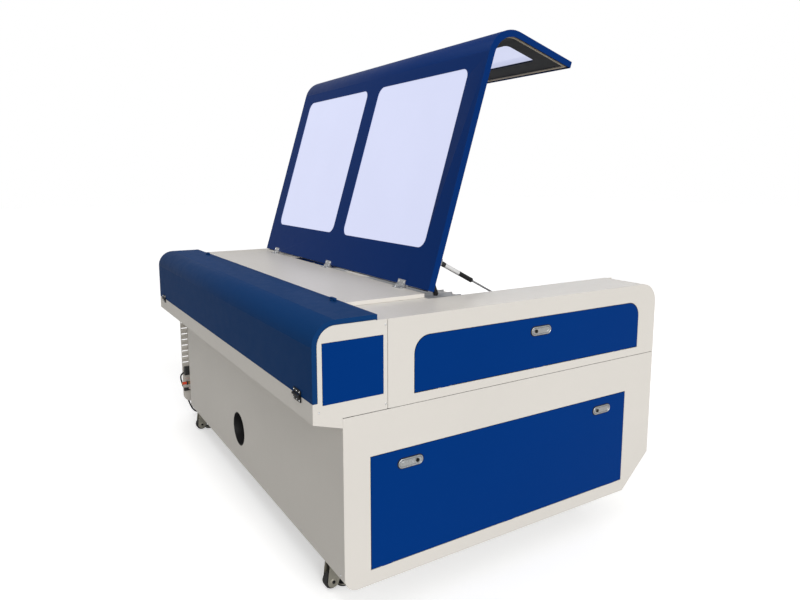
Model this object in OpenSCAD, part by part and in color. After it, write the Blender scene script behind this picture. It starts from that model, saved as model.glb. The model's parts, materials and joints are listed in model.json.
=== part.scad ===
// Floor-standing laser engraver with a lift-up lid, side doors, a rear tube bay and levelling casters.
// Millimetres. +X is the operator's right, +Y the rear, +Z up; the origin is on the floor.

/* [Cabinet] */
// Width over the two side panels
body_w = 2100; // [1900:10:2300]
// Front face to the rear face of the tube compartment
body_d = 1572; // [1500:4:1640]
// Height of the side panels' lower edge above the floor
leg_h = 105; // [95:1:120]
// Height of the seam between the lower cabinet and the upper body
seam_h = 695; // [680:1:710]
// Height of the side boxes
side_h = 989; // [980:1:1000]
// Width of each side box
side_box_w = 210; // [190:1:212]
// Sheet steel thickness
sheet = 2.5; // [2:0.5:3]
// How far the tube compartment overhangs the lower cabinet
overhang = 100; // [80:1:110]
// Diameter of the exhaust duct opening
duct_d = 145; // [120:1:150]

/* [Lid] */
// Lid length from the hinge line to the bend's corner
lid_l = 1040; // [1030:1:1045]
// Length of the front flap below the bend's corner
flap_l = 408; // [380:1:420]
// Lid width
lid_w = 1670; // [1650:2:1672]
// Depth of the folded edge round the lid
lid_edge = 26; // [24:1:26]
// Opening angle of the lid in its rest pose
lid_open = 73; // [60:1:75]
// Radius of the bend between lid and flap
lid_bend = 120; // [100:1:130]

/* [Tube cover] */
// Height of the top of the cover
cover_h = 1008; // [1004:1:1012]
// Height of the cover's lower rear edge
cover_z = 757; // [740:1:770]
// Depth of the cover's folded ends
cover_edge = 16; // [14:1:20]
// Outer bend radius of the cover
cover_bend = 78; // [60:1:90]

/* [Motion system] */
// Gantry beam centre at rest, from the middle of the machine
beam_y = 380; // [300:5:400]
// Height of the work table's top
table_h = 800; // [790:1:805]
// Radius of the table's lead screws
screw_r = 8; // [6:0.5:8]

/* [Hidden] */
$fn = 64;

// Paint and material colours
white_paint = [0.86, 0.85, 0.82];
blue_paint = [0.02, 0.14, 0.48];
dark = [0.05, 0.05, 0.06];
steel = [0.70, 0.71, 0.73];
alloy = [0.78, 0.79, 0.81];
brass_tone = [0.72, 0.56, 0.26];
acrylic = [0.80, 0.82, 0.95, 0.6];

// Main planes
half_w = body_w / 2;
front_y = -body_d / 2;
rear_y = body_d / 2;
cabinet_y = rear_y - overhang;
seam_y = rear_y - 262;
box_x = half_w - side_box_w;
chamfer_z = leg_h + 141;
chamfer_y = front_y + 151;
skin_x = half_w - sheet;

// Lid hinge line
hinge_y = rear_y - 560;
hinge_z = side_h + 22;
hinge_gap = 6;
hinge_places = [-650, 10, 670];
window_x = [54, 734];
window_l = [158, 868];
flap_window_l = [148, 305];
window_r = 40;

// Doors: [rear, front, bottom, top], corner radius
lower_door = [590, -622, 156, 547];
upper_door = [424, -683, 727, 920];
upper_door_r = 60;
door_gap = 2;
hinge_slot = 2.6;
lower_hinges = [-560, 0, 530];
upper_hinges = [-560, -130, 300];
// Latch places along the doors and their heights
lower_latches = [438, -481];
lower_latch_z = 496;
upper_latch = -134;
upper_latch_z = 868;
// Small hinges in the slot under each side door
knuckle_r = 0.95;
hinge_pin_r = 0.5;
knuckle_l = 12;
latch_l = 95;
latch_h = 30;
paddle_h = 22;

// Gas strut: eye on the lid, stud on the ledge, in the lid's open pose
strut_x = 798;
strut_eye = [154, 1115.7];
strut_stud = [-147, 955];
strut_angle = atan2(strut_stud[1] - strut_eye[1], strut_stud[0] - strut_eye[0]);
strut_len = norm(strut_stud - strut_eye);
strut_cyl_l = 178;

// Casters: the wheel stands behind the swivel's centre, the levelling foot in front of it
caster_x = 850;
caster_rear_y = 618;
caster_front_y = -560;
wheel_r = 29;
wheel_y = 22;
wheel_z = wheel_r + 1;
foot_y = -24;
foot_r = 22;

// Service recess at the right end of the rear panel; the inlet and hose fittings sit on its back wall
recess_x = 872;
recess_y = cabinet_y - 42;
rear_panel_z = leg_h + 36;
under_slope = 0.3;
under_z = 692;

// Weld gap that keeps frame members apart as plain solids
weld = 0.2;
pan_z = rear_panel_z + 1;

// Cord from the inlet to the coil on the floor, hand-routed
cord_d = 9;
cord_sides = 8;
inlet = [945, 325];
coil_c = [1190, 300];
coil_r = 50;
coil_w = 20;
coil_h = 19;
cord_points = [
    [990, 690, 300], [1003, 693, 295], [1017, 696, 287], [1031, 698, 276], [1043, 698, 262],
        [1053, 695, 245],
    [1060, 690, 226], [1065, 684, 205], [1068, 677, 183], [1070, 670, 160], [1072, 663, 137],
        [1074, 656, 114],
    [1076, 649, 92], [1079, 641, 70], [1083, 632, 50], [1089, 621, 33], [1097, 607, 19], [1107, 591, 10],
    [1119, 572, 5.6], [1132, 551, 4.6], [1146, 527, 4.6], [1160, 501, 4.6], [1174, 474, 4.6],
        [1189, 445, 4.6],
    [1203, 418, 4.6], [1216, 393, 4.6], [1229, 371, 4.6], [1239, 351, 4.6], [1246, 331, 4.6]];

module block(x, y, z) {
    translate([x[0], y[0], z[0]]) cube([x[1] - x[0], y[1] - y[0], z[1] - z[0]]);
}

// A plan drawn as (y, z) becomes a solid between two values of x
module along_x(x0, x1) {
    translate([x0, 0, 0]) rotate([90, 0, 90]) linear_extrude(x1 - x0) children();
}

module round_x(r, x0, x1, y, z) {
    translate([x0, y, z]) rotate([0, 90, 0]) cylinder(r = r, h = x1 - x0);
}

module round_y(r, y0, y1, x, z) {
    translate([x, y0, z]) rotate([-90, 0, 0]) cylinder(r = r, h = y1 - y0);
}

module both_sides() {
    children();
    mirror([1, 0, 0]) children();
}

module rect(y, z) {
    translate([y[0], z[0]]) square([y[1] - y[0], z[1] - z[0]]);
}

// Rectangle with some corners rounded: corners are [sign of y, sign of z]
module soft_rect(y, z, r, corners) {
    difference() {
        rect(y, z);
        for (c = corners) {
            cy = c[0] > 0 ? y[1] : y[0];
            cz = c[1] > 0 ? z[1] : z[0];
            difference() {
                rect([min(cy, cy - c[0] * r), max(cy, cy - c[0] * r)],
                    [min(cz, cz - c[1] * r), max(cz, cz - c[1] * r)]);
                translate([cy - c[0] * r, cz - c[1] * r]) circle(r = r);
            }
        }
    }
}

all_corners = [[1, 1], [1, -1], [-1, 1], [-1, -1]];

module stadium(length, height) {
    square([length - height, height], center = true);
    for (s = [-1, 1]) translate([s * (length - height) / 2, 0]) circle(d = height);
}

// ---- Lower cabinet ----

module base_frame() {
    tube = 45;
    x1 = skin_x - 2;
    x0 = x1 - tube;
    cross_x = x0 - weld;
    door_flange = 16;
    sill_x = [x0 - door_flange, x1 - door_flange];
    sill_cross_x = sill_x[0] - weld;
    floor_z = rear_panel_z;
    sill_top = floor_z + tube;
    back = [recess_y - sheet - 1.5 - tube, recess_y - sheet - 1.5];
    front = [chamfer_y - tube, chamfer_y];
    top = [610, 655];
    middle = [485, 530];
    color(steel) {
        both_sides() {
            block(sill_x, [chamfer_y, back[1]], [floor_z, sill_top]);
            block(sill_x, [chamfer_y + weld, chamfer_y + tube], [sill_top + weld, sill_top + tube]);
            block([x0, x1], [front[0], front[1] - weld], [165, top[0] - weld]);
            block([x0, x1], back, [sill_top + weld, top[0] - weld]);
            block([x0, x1], [front[0], back[1]], top);
            block([box_x - 41, box_x + 4], [front[1] + weld, back[0] - weld], middle);
        }
        for (y = [front, back]) {
            block([-cross_x, cross_x], y, middle);
            block([-cross_x, cross_x], y, top);
        }
        block([-cross_x, cross_x], [front[0], front[1] - weld], [165, 205]);
        block([-sill_cross_x, sill_cross_x], back, [floor_z, sill_top]);
        block([-sill_cross_x, sill_cross_x], [chamfer_y, chamfer_y + tube], [floor_z, sill_top]);
        for (sx = [-1, 1]) for (y = [caster_rear_y, caster_front_y]) caster_pad(sx * caster_x, y, floor_z);
    }
}

module caster_pad(x, y, top) {
    difference() {
        block([x - 50, x + 50], [y - 50, y + 50], [top - 6, top - weld]);
        translate([x, y, top - 7]) cylinder(r = 8.05, h = 8);
    }
}

module base_pan() {
    color(white_paint)
        block([-984, 984], [chamfer_y + 46, recess_y - 50], [pan_z, pan_z + sheet]);
}

module lower_panel_plan() {
    r = 50;
    difference() {
        union() {
            polygon([[cabinet_y, seam_h - 2], [front_y, seam_h - 2], [front_y, chamfer_z],
                [chamfer_y, leg_h],
                [cabinet_y - r, leg_h], [cabinet_y, leg_h + r]]);
            translate([cabinet_y - r, leg_h + r]) circle(r = r);
        }
        rect([lower_door[1], lower_door[0]], [lower_door[2], lower_door[3]]);
    }
}

module lower_panel() {
    color(white_paint) along_x(-half_w, -skin_x) lower_panel_plan();
}

// Vent slots near the rear edge of the right panel, beside the service recess
vent_z = 345;
vent_pitch = 34;
vent_rows = 9;
vent_h = 20;

module vented_panel() {
    color(white_paint) mirror([1, 0, 0]) along_x(-half_w, -skin_x) difference() {
        lower_panel_plan();
        for (i = [0 : vent_rows - 1])
            rect([recess_y + 4, cabinet_y - 4],
                [vent_z + i * vent_pitch, vent_z + i * vent_pitch + vent_h]);
    }
}

module rear_panel() {
    top = under_z - under_slope * overhang - 1.5;
    back_top = under_z - under_slope * (rear_y - recess_y + sheet) - 1;
    color(white_paint) difference() {
        union() {
            block([-skin_x, recess_x], [cabinet_y - sheet, cabinet_y], [rear_panel_z, top]);
            block([recess_x - sheet, recess_x], [recess_y - sheet, cabinet_y - 1],
                [rear_panel_z, back_top]);
            block([recess_x - sheet, skin_x], [recess_y - sheet, recess_y], [rear_panel_z, back_top]);
        }
        round_y(duct_d / 2 + 3.3, cabinet_y - 5, cabinet_y + 1, 0, duct_z);
        round_y(14, recess_y - 5, recess_y + 1, inlet[0], inlet[1]);
        for (f = fittings) round_y(f[2] + 0.4, recess_y - 5, recess_y + 1, f[0], f[1]);
    }
}

module front_panel() {
    lip = 25;
    color(white_paint) {
        along_x(-skin_x, skin_x)
            polygon([[front_y, seam_h - 0.5], [front_y, chamfer_z], [chamfer_y, leg_h],
                [chamfer_y + sheet, leg_h + sheet],
                [front_y + sheet, chamfer_z + sheet], [front_y + sheet, seam_h - 0.5]]);
        along_x(-(box_x - 3), box_x - 3)
            polygon([[front_y, seam_h - 1], [front_y, 722], [front_y + lip, 722],
                [front_y + lip, 722 - sheet],
                [front_y + sheet, 722 - sheet], [front_y + sheet, seam_h - 1]]);
    }
}

duct_z = 300;

module exhaust_collar() {
    color(dark) {
        difference() {
            union() {
                round_y(duct_d / 2 + 2.5, cabinet_y - 70, cabinet_y, 0, duct_z);
                round_y(duct_d / 2 + 14, cabinet_y - 6, cabinet_y - 3, 0, duct_z);
            }
            round_y(duct_d / 2, cabinet_y - 71, cabinet_y + 1, 0, duct_z);
        }
        block([-90, 90], [cabinet_y - 76, cabinet_y - 70], [duct_z - 90, duct_z + 90]);
    }
}

// Fittings on the recess's back wall: [x, z, radius, length, collar length]
fittings = [[950, 250, 7, 70, 36], [985, 266, 5, 40, 12], [935, 222, 6, 36, 14], [985, 202, 9, 50, 16]];

module rear_fittings() {
    color(brass_tone) for (f = fittings) {
        round_y(f[2], recess_y - 12, recess_y + f[3], f[0], f[1]);
        round_y(f[2] * 1.35, recess_y - 12, recess_y - 3, f[0], f[1]);
        round_y(f[2] + 0.1, recess_y - 4, recess_y + 1, f[0], f[1]);
        round_y(f[2] * 1.3, recess_y + 0.3, recess_y + f[4], f[0], f[1]);
    }
    color(dark) {
        block([inlet[0] - 26, inlet[0] + 26], [recess_y + 0.2, recess_y + 5],
            [inlet[1] - 32, inlet[1] + 30]);
        block([inlet[0] - 20, inlet[0] + 20], [recess_y - 26, recess_y - 3],
            [inlet[1] - 14, inlet[1] + 14]);
        round_y(13, recess_y - 4, recess_y + 1, inlet[0], inlet[1]);
    }
}

module power_supply() {
    color(steel) {
        block([-420, -120], [330, 480], [pan_z + 3, pan_z + 183]);
        block([150, 560], [330, 480], [pan_z + 3, pan_z + 123]);
    }
}

// ---- Upper body ----

module side_skin_plan() {
    difference() {
        soft_rect([front_y, seam_y], [seam_h, side_h], 80, [[-1, 1]]);
        soft_rect([upper_door[1], upper_door[0]], [upper_door[2], upper_door[3]], upper_door_r,
            [[-1, 1], [1, 1]]);
    }
}

module side_wrap_plan() {
    difference() {
        soft_rect([front_y, seam_y], [seam_h, side_h], 80, [[-1, 1]]);
        soft_rect([front_y + sheet, seam_y + 1], [seam_h - 1, side_h - sheet], 80 - sheet, [[-1, 1]]);
    }
}

module side_box() {
    slab_edge = 812;
    color(white_paint) {
        along_x(-half_w, -skin_x) side_skin_plan();
        along_x(-skin_x, -box_x) side_wrap_plan();
        block([-box_x - 1, -slab_edge], [hinge_y + 1, seam_y], [side_h - sheet, side_h]);
        block([-box_x - sheet, -box_x], [front_y + sheet, seam_y], [seam_h, 838]);
        block([-box_x - sheet, -box_x], [front_y + 30, hinge_y], [945, side_h - sheet]);
        block([-box_x, -box_x + 17], [front_y + 76, hinge_y - 30], [977, 980]);
        block([-skin_x, -box_x - sheet], [front_y + sheet, seam_y], [seam_h, seam_h + sheet]);
    }
}

module rear_top_cover() {
    x = 815;
    y = [hinge_y + 1, rear_y - 234];
    z = side_h + 15;
    color(white_paint) {
        block([-x, x], y, [z - sheet, z]);
        both_sides() block([-x, -x + sheet], y, [side_h + 0.2, z - 1]);
        block([-x, x], [y[0], y[0] + sheet], [side_h + 0.2, z - 1]);
        block([-x, x], [y[1] - sheet, y[1]], [side_h + 0.2, z - 1]);
    }
}

module tube_bay() {
    inner = rear_y - cover_edge;
    under_y = recess_y - sheet;
    under_at_y = under_z - under_slope * (rear_y - under_y);
    color(white_paint) {
        along_x(-skin_x, skin_x)
            polygon([[under_y, under_at_y], [rear_y, under_z], [rear_y, cover_z - 0.5],
                [inner, cover_z - 0.5],
                [inner, cover_z - 3], [rear_y - sheet, cover_z - 3], [rear_y - sheet, under_z + sheet],
                    [under_y, under_at_y + 3]]);
        block([-skin_x, skin_x], [seam_y + sheet, rear_y - sheet - 0.2], [698, 698 + sheet]);
        block([-skin_x, skin_x], [seam_y + 0.2, seam_y + sheet], [698, side_h]);
        block([-skin_x, skin_x], [seam_y, seam_y + 36], [side_h - sheet, side_h]);
    }
}

module end_cap_plan() {
    inner = rear_y - cover_edge - 1;
    top = cover_h - cover_edge - 1;
    front = seam_y + 2;
    cover_front = rear_y - cover_d;
    difference() {
        union() {
            intersection() {
                soft_rect([front, inner], [seam_h, top], cover_bend - cover_edge - 1, [[1, 1]]);
                union() {
                    rect([front, inner], [seam_h, side_h]);
                    rect([cover_front + 4, inner], [seam_h, top]);
                }
            }
            rect([inner - 1, rear_y], [seam_h, cover_z - 0.5]);
            polygon([[cabinet_y, seam_h + 1], [cabinet_y, under_z - under_slope * overhang],
                [rear_y, under_z], [rear_y, seam_h + 1]]);
        }
        rect(square_y, square_z);
    }
}

square_y = [540, 753];
square_z = [747, 940];

module end_caps() {
    color(white_paint) both_sides() along_x(-half_w, -skin_x) end_cap_plan();
}

module square_panels() {
    gap = 0.8;
    color(blue_paint) both_sides()
        along_x(-half_w - 0.5, -skin_x)
            soft_rect([square_y[0] + gap, square_y[1] - gap], [square_z[0] + gap, square_z[1] - gap], 4,
                all_corners);
}

module laser_tube() {
    z = 850;
    y = 650;
    color(acrylic) difference() {
        round_x(40, -800, 800, y, z);
        round_x(37.5, -780, 780, y, z);
    }
    color(acrylic) round_x(12, -779, 779, y, z);
    color(steel) both_sides() round_x(22, 800, 850, y, z);
}

module tube_holders() {
    z = 850;
    y = 650;
    color(dark) for (x = [-560, 560]) difference() {
        block([x - 20, x + 20], [y - 55, y + 55], [701, z + 50]);
        round_x(40.2, x - 21, x + 21, y, z);
    }
    color(alloy) {
        block([-1010, -980], [y - 30, y + 30], [701, z + 30]);
        block([-940, -880], [y - 5, y + 5], [701, 760]);
    }
}

// Cover hinges: outer ends along x, knuckle radius, leaf edges below and above the pin
cover_hinge = [910, 966];
cover_knuckle = [924, 954];
cover_knuckle_r = 4.5;
leaf = [5, 19];

module cover_hinge_plates() {
    y = rear_y + 5;
    color(dark) both_sides() {
        block(cover_hinge, [rear_y + 0.1, rear_y + 3], [cover_z - leaf[1], cover_z - leaf[0] - 1]);
        for (x = [[cover_hinge[0], cover_knuckle[0] - 0.5], [cover_knuckle[1] + 0.5, cover_hinge[1]]]) {
            difference() {
                round_x(cover_knuckle_r, x[0], x[1], y, cover_z);
                round_x(2.5, x[0] - 1, x[1] + 1, y, cover_z);
            }
            block(x, [rear_y + 0.1, rear_y + 3], [cover_z - leaf[0] - 2, cover_z - 1]);
        }
        round_x(2.5, cover_hinge[0], cover_hinge[1], y, cover_z);
    }
}

module hinge_pins() {
    top = side_h + 15;
    color(steel) {
        for (x = hinge_places) {
            block([x - 32, x + 32], [hinge_y - 3, hinge_y + 24], [top + 0.1, top + 1.9]);
            for (s = [x - 32, x + 12]) {
                round_x(4.8, s, s + 20, hinge_y, hinge_z);
                block([s, s + 20], [hinge_y, hinge_y + 4.8], [top + 1, hinge_z]);
            }
            round_x(3, x - 14, x + 14, hinge_y, hinge_z);
        }
        both_sides() {
            door_pins(lower_door, lower_hinges);
            door_pins(upper_door, upper_hinges);
            block([-box_x, -strut_x - 7], [strut_stud[0] - 12, strut_stud[0] + 12],
                [strut_stud[1] - 10, strut_stud[1] + 10]);
        }
    }
}

// Hinge pieces that stay on the panel, in the slot under a side door's lower edge
module door_pins(door, places) {
    z = door[2] + hinge_slot / 2;
    for (y = places) {
        translate([-half_w, y - 30, z]) rotate([-90, 0, 0]) cylinder(r = hinge_pin_r, h = 60);
        for (s = [y - 30, y + 18]) {
            translate([-half_w, s, z]) rotate([-90, 0, 0]) cylinder(r = knuckle_r, h = knuckle_l);
            block([-half_w - 0.5, -half_w + 1.5], [s, s + knuckle_l], [door[2] + 0.05, z]);
        }
    }
}

// ---- Doors and latches ----

module door(plan, r, corners, latches, latch_z, places) {
    y = [plan[1] + door_gap, plan[0] - door_gap];
    z = [plan[2] + hinge_slot, plan[3] - door_gap];
    pin_z = plan[2] + hinge_slot / 2;
    color(blue_paint) difference() {
        union() {
            along_x(-half_w, -skin_x) soft_rect(y, z, r, corners);
            along_x(-skin_x, -skin_x + 14) difference() {
                soft_rect([y[0] + 6, y[1] - 6], [z[0] + 6, z[1] - 6], max(r - 6, 1), corners);
                soft_rect([y[0] + 8, y[1] - 8], [z[0] + 8, z[1] - 8], max(r - 8, 1), corners);
            }
            for (l = latches) translate([-half_w - 2.5, l, latch_z]) rotate([90, 0, 90])
                linear_extrude(14) stadium(latch_l, latch_h);
            for (s = places) {
                translate([-half_w, s - 17.7, pin_z]) rotate([-90, 0, 0]) cylinder(r = knuckle_r, h = 35.4);
                block([-half_w, -half_w + 1.5], [s - 17.7, s + 17.7], [pin_z, z[0] + 0.5]);
            }
        }
        for (s = places)
            translate([-half_w, s - 18, pin_z]) rotate([-90, 0, 0])
                cylinder(r = hinge_pin_r + 0.03, h = 36);
        for (l = latches) translate([-half_w - 3.5, l, latch_z]) rotate([90, 0, 90])
            linear_extrude(16) stadium(latch_l - 6, paddle_h + 1.4);
    }
}

// Paddle of a door latch, turning on a pin at the end away from its key button
module paddle(y, z, button_side) {
    color(alloy) {
        translate([-half_w - 3.5, y, z]) rotate([90, 0, 90]) linear_extrude(6)
            stadium(latch_l - 8.4, paddle_h - 1);
        round_dot(y + button_side * 26, z);
    }
}

module round_dot(y, z) {
    translate([-half_w - 5, y, z]) rotate([0, 90, 0]) cylinder(r = 5.5, h = 3);
}

module lower_door_shape() door(lower_door, 1, all_corners, lower_latches, lower_latch_z, lower_hinges);
module upper_door_shape() door(upper_door, upper_door_r, [[-1, 1], [1, 1]], [upper_latch], upper_latch_z,
    upper_hinges);

// ---- Tube cover ----

cover_d = 224;

module cover_outline() {
    soft_rect([rear_y - cover_d, rear_y], [cover_z, cover_h], cover_bend, [[1, 1]]);
}

module tube_cover() {
    front = rear_y - cover_d;
    color(blue_paint) difference() {
        union() {
            along_x(-half_w, half_w) difference() {
                cover_outline();
                soft_rect([front - 1, rear_y - sheet], [cover_z - 1, cover_h - sheet], cover_bend - sheet,
                    [[1, 1]]);
            }
            both_sides() along_x(-half_w, -skin_x) difference() {
                cover_outline();
                soft_rect([front - 1, rear_y - cover_edge], [cover_z - 1, cover_h - cover_edge],
                    cover_bend - cover_edge, [[1, 1]]);
            }
            block([-half_w, half_w], [front, front + sheet], [side_h + 1, cover_h - 1]);
        }
        both_sides() translate([latch_x, latch_y, cover_h - 10]) cylinder(r = 4.05, h = 20);
    }
    color(dark) both_sides() {
        block(cover_hinge, [rear_y + 0.1, rear_y + 3], [cover_z + leaf[0] + 1, cover_z + leaf[1]]);
        difference() {
            union() {
                round_x(cover_knuckle_r, cover_knuckle[0], cover_knuckle[1], rear_y + 5, cover_z);
                block(cover_knuckle, [rear_y + 0.1, rear_y + 3], [cover_z + 2, cover_z + leaf[0] + 2]);
            }
            round_x(2.55, cover_knuckle[0] - 1, cover_knuckle[1] + 1, rear_y + 5, cover_z);
        }
    }
}

latch_x = 775;
latch_y = 580;

module cover_latch(sx) {
    color(blue_paint) translate([sx * latch_x, latch_y, cover_h]) {
        translate([0, 0, -8]) cylinder(r = 4, h = 10);
        translate([0, 0, 0.3]) cylinder(r = 12, h = 3.5);
        translate([0, 0, 3]) linear_extrude(7) stadium(40, 11);
        translate([0, 0, -8]) cylinder(r = 9, h = 3);
    }
}

// ---- Lid, drawn closed about its hinge line and then opened ----

module opened() {
    translate([0, hinge_y, hinge_z]) rotate([-lid_open, 0, 0]) children();
}

module lid_outline(inset, extra) {
    soft_rect([-lid_l + inset, extra], [-flap_l - extra, -inset], lid_bend - inset, [[-1, 1]]);
}

// The bent sheet between two depths below the lid's outer face
module lid_layer(depth0, depth1, margin) {
    intersection() {
        difference() {
            lid_outline(depth0, 0);
            lid_outline(depth1, 1);
        }
        rect([-lid_l, -hinge_gap - margin], [-flap_l + margin, 0]);
    }
}

module window_holes(grow, depth) {
    for (s = [-1, 1]) {
        x0 = s > 0 ? window_x[0] : -window_x[1];
        w = window_x[1] - window_x[0];
        translate([0, 0, -depth]) linear_extrude(depth + 1)
            soft_rect([x0 - grow, x0 + w + grow], [-window_l[1] - grow, -window_l[0] + grow],
                window_r + grow, all_corners);
        translate([0, -lid_l + depth, 0]) rotate([90, 0, 0]) linear_extrude(depth + 1)
            soft_rect([x0 - grow, x0 + w + grow], [-flap_window_l[1] - grow, -flap_window_l[0] + grow],
                20 + grow, all_corners);
    }
}

module lid_shell() {
    half = lid_w / 2;
    edge_x = half - sheet;
    color(blue_paint) opened() difference() {
        union() {
            along_x(-half, half) lid_layer(0, sheet, 0);
            both_sides() along_x(-half, -edge_x) lid_layer(0, lid_edge, 0);
            block([-edge_x, edge_x], [-hinge_gap - sheet, -hinge_gap], [-lid_edge, -sheet]);
            block([-edge_x, edge_x], [-lid_l + sheet, -lid_l + lid_edge], [-flap_l, -flap_l + sheet]);
        }
        window_holes(0, 12);
        for (x = hinge_places) block([x - 34, x + 34], [-hinge_gap - 1, 1], [-12, 1]);
    }
}

module lid_liner() {
    half = lid_w / 2 - sheet - 0.4;
    color(dark) opened() difference() {
        along_x(-half, half) lid_layer(20, 22.5, sheet + 0.4);
        window_holes(0, 30);
    }
}

module lid_windows() {
    grow = 14;
    color(acrylic) opened() {
        for (s = [-1, 1]) {
            x0 = s > 0 ? window_x[0] : -window_x[1];
            w = window_x[1] - window_x[0];
            translate([0, 0, -sheet - 4]) linear_extrude(3.8)
                soft_rect([x0 - grow, x0 + w + grow], [-window_l[1] - grow, -window_l[0] + grow], window_r,
                    all_corners);
            translate([0, -lid_l + sheet + 4, 0]) rotate([90, 0, 0]) linear_extrude(3.8)
                soft_rect([x0 - grow, x0 + w + grow], [-flap_window_l[1] - grow, -flap_window_l[0] + grow],
                    20, all_corners);
        }
    }
}

module lid_seal() {
    half = lid_w / 2 - 12;
    color([0.80, 0.76, 0.68]) opened() {
        both_sides() along_x(-half, -half + 8) lid_layer(22.7, 26.5, 16);
        block([-half + 8.2, half - 8.2], [-30, -22], [-26.5, -22.7]);
        block([-half + 8.2, half - 8.2], [-lid_l + 22.7, -lid_l + 26.5], [-flap_l + 16, -flap_l + 24]);
    }
}

module lid_fittings() {
    color(steel) opened() {
        // Moving hinge leaves
        for (x = hinge_places) difference() {
            union() {
                round_x(4.8, x - 11.5, x + 11.5, 0, 0);
                block([x - 11.5, x + 11.5], [-5, 0], [0, 4.6]);
                block([x - 11.5, x + 11.5], [-8, -4], [0.1, 3]);
                block([x - 27, x + 27], [-24, -5.4], [0.1, 3]);
            }
            round_x(3.05, x - 12, x + 12, 0, 0);
        }
        // Handle on the flap
        for (x = [-90, 90]) round_y(6, -lid_l - 38, -lid_l - 0.1, x, -flap_l + 50);
        round_x(8, -110, 110, -lid_l - 40, -flap_l + 50);
    }
    color(dark) {
        // Strut brackets and pins, and the stop arms beside the hinge line
        both_sides() {
            opened() {
                eye = lid_point(strut_eye);
                block([strut_x + 11, strut_x + 14], [eye[0] - 12, eye[0] + 12], [eye[1] - 8, -22.7]);
                along_x(strut_x + 2, strut_x + 8)
                    polygon([[-50, -22.7], [-33, -22.7], [-28, -30], [6, -52], [4, -66], [-6, -68],
                        [-48, -36]]);
            }
            round_x(3.5, strut_x - 8, strut_x + 12, strut_eye[0], strut_eye[1]);
        }
    }
}

// A point given in the open pose as (y, z), in the closed lid's own coordinates
function lid_point(p) = let (d = p - [hinge_y, hinge_z])
    [d[0] * cos(lid_open) - d[1] * sin(lid_open), d[0] * sin(lid_open) + d[1] * cos(lid_open)];

// Gas strut drawn along its own axis from the eye, then turned into place
module along_strut(sx) {
    translate([sx * strut_x, strut_eye[0], strut_eye[1]]) rotate([strut_angle, 0, 0]) children();
}

module strut_cylinder(sx) {
    color(dark) along_strut(sx) difference() {
        union() {
            translate([0, 14, 0]) rotate([-90, 0, 0]) cylinder(r = 9, h = strut_cyl_l - 14);
            round_x(7.5, -6, 6, 0, 0);
            block([-4, 4], [4, 16], [-5, 5]);
        }
        round_x(3.55, -7, 7, 0, 0);
        translate([0, 24, 0]) rotate([-90, 0, 0]) cylinder(r = 4.05, h = strut_cyl_l);
    }
}

module strut_rod(sx) {
    color(steel) along_strut(sx) {
        translate([0, 122, 0]) rotate([-90, 0, 0]) cylinder(r = 4, h = strut_len - 126);
        difference() {
            union() {
                round_x(7.5, -6, 6, strut_len, 0);
                block([-4, 4], [strut_len - 16, strut_len - 4], [-5, 5]);
            }
            round_x(3.5, -7, 7, strut_len, 0);
        }
    }
}

// ---- Motion system ----

rail_x = 930;
rail_z = 841;
beam_z = [870, 935];

module y_rails() {
    shelf_top = rail_z - 8;
    color(steel) both_sides() {
        block([-985, -box_x - sheet - weld], [-760, 500], [shelf_top - 4, shelf_top]);
        for (y = [-700 : 240 : 500]) block([-985, -box_x - sheet - weld], [y, y + 4],
            [760, shelf_top - 4 - weld]);
        block([-rail_x - 25, -rail_x + 25], [-760, 500], [shelf_top + weld, rail_z]);
        block([-rail_x - 10, -rail_x + 10], [-740, 490], [rail_z + weld, rail_z + 15]);
    }
}

module gantry_beam() {
    y0 = beam_y - 30;
    y1 = beam_y + 30;
    color(alloy) {
        difference() {
            block([-958, 958], [y0, y1], beam_z);
            for (z = [886, 911]) block([-959, 959], [y1 - 8, y1 + 1], [z, z + 8]);
            block([-959, 959], [y0 + 12, y1 - 14], [beam_z[0] + 10, beam_z[1] - 10]);
        }
        block([-800, 800], [y0 - 12, y0], [895, 915]);
        both_sides() difference() {
            block([-rail_x - 26, -rail_x + 26], [y0 - 12, y1 + 12], [rail_z + 1, beam_z[0]]);
            block([-rail_x - 10.5, -rail_x + 10.5], [y0 - 13, y1 + 13], [rail_z, rail_z + 15.5]);
        }
        block([-880, -830], [y0 - 36, y0], [872, 930]);
    }
}

module carriage() {
    y0 = beam_y - 30;
    color(dark) {
        difference() {
            block([-48, 48], [y0 - 28, y0 - 0.6], [878, 932]);
            block([-49, 49], [y0 - 12.5, y0 + 1], [894.5, 915.5]);
        }
        difference() {
            block([-26, 26], [y0 - 84, y0 - 28], [846, 892]);
            translate([0, y0 - 56, 840]) cylinder(r = 15.05, h = 60);
        }
        difference() {
            block([-26, 26], [y0 - 84, y0 - 28], [914, 934]);
            round_y(9, y0 - 85, y0 - 20, 0, 924);
        }
        block([-26, -18], [y0 - 84, y0 - 28], [890, 916]);
    }
}

module lens_tube() {
    y = beam_y - 86;
    color(alloy) {
        translate([0, y, 836]) cylinder(r = 15, h = 56);
        translate([0, y, 826]) cylinder(r = 18, h = 10);
        translate([0, y, 806]) rotate_extrude() polygon([[0, 0], [4, 0], [16, 20], [0, 20]]);
    }
}

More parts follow.
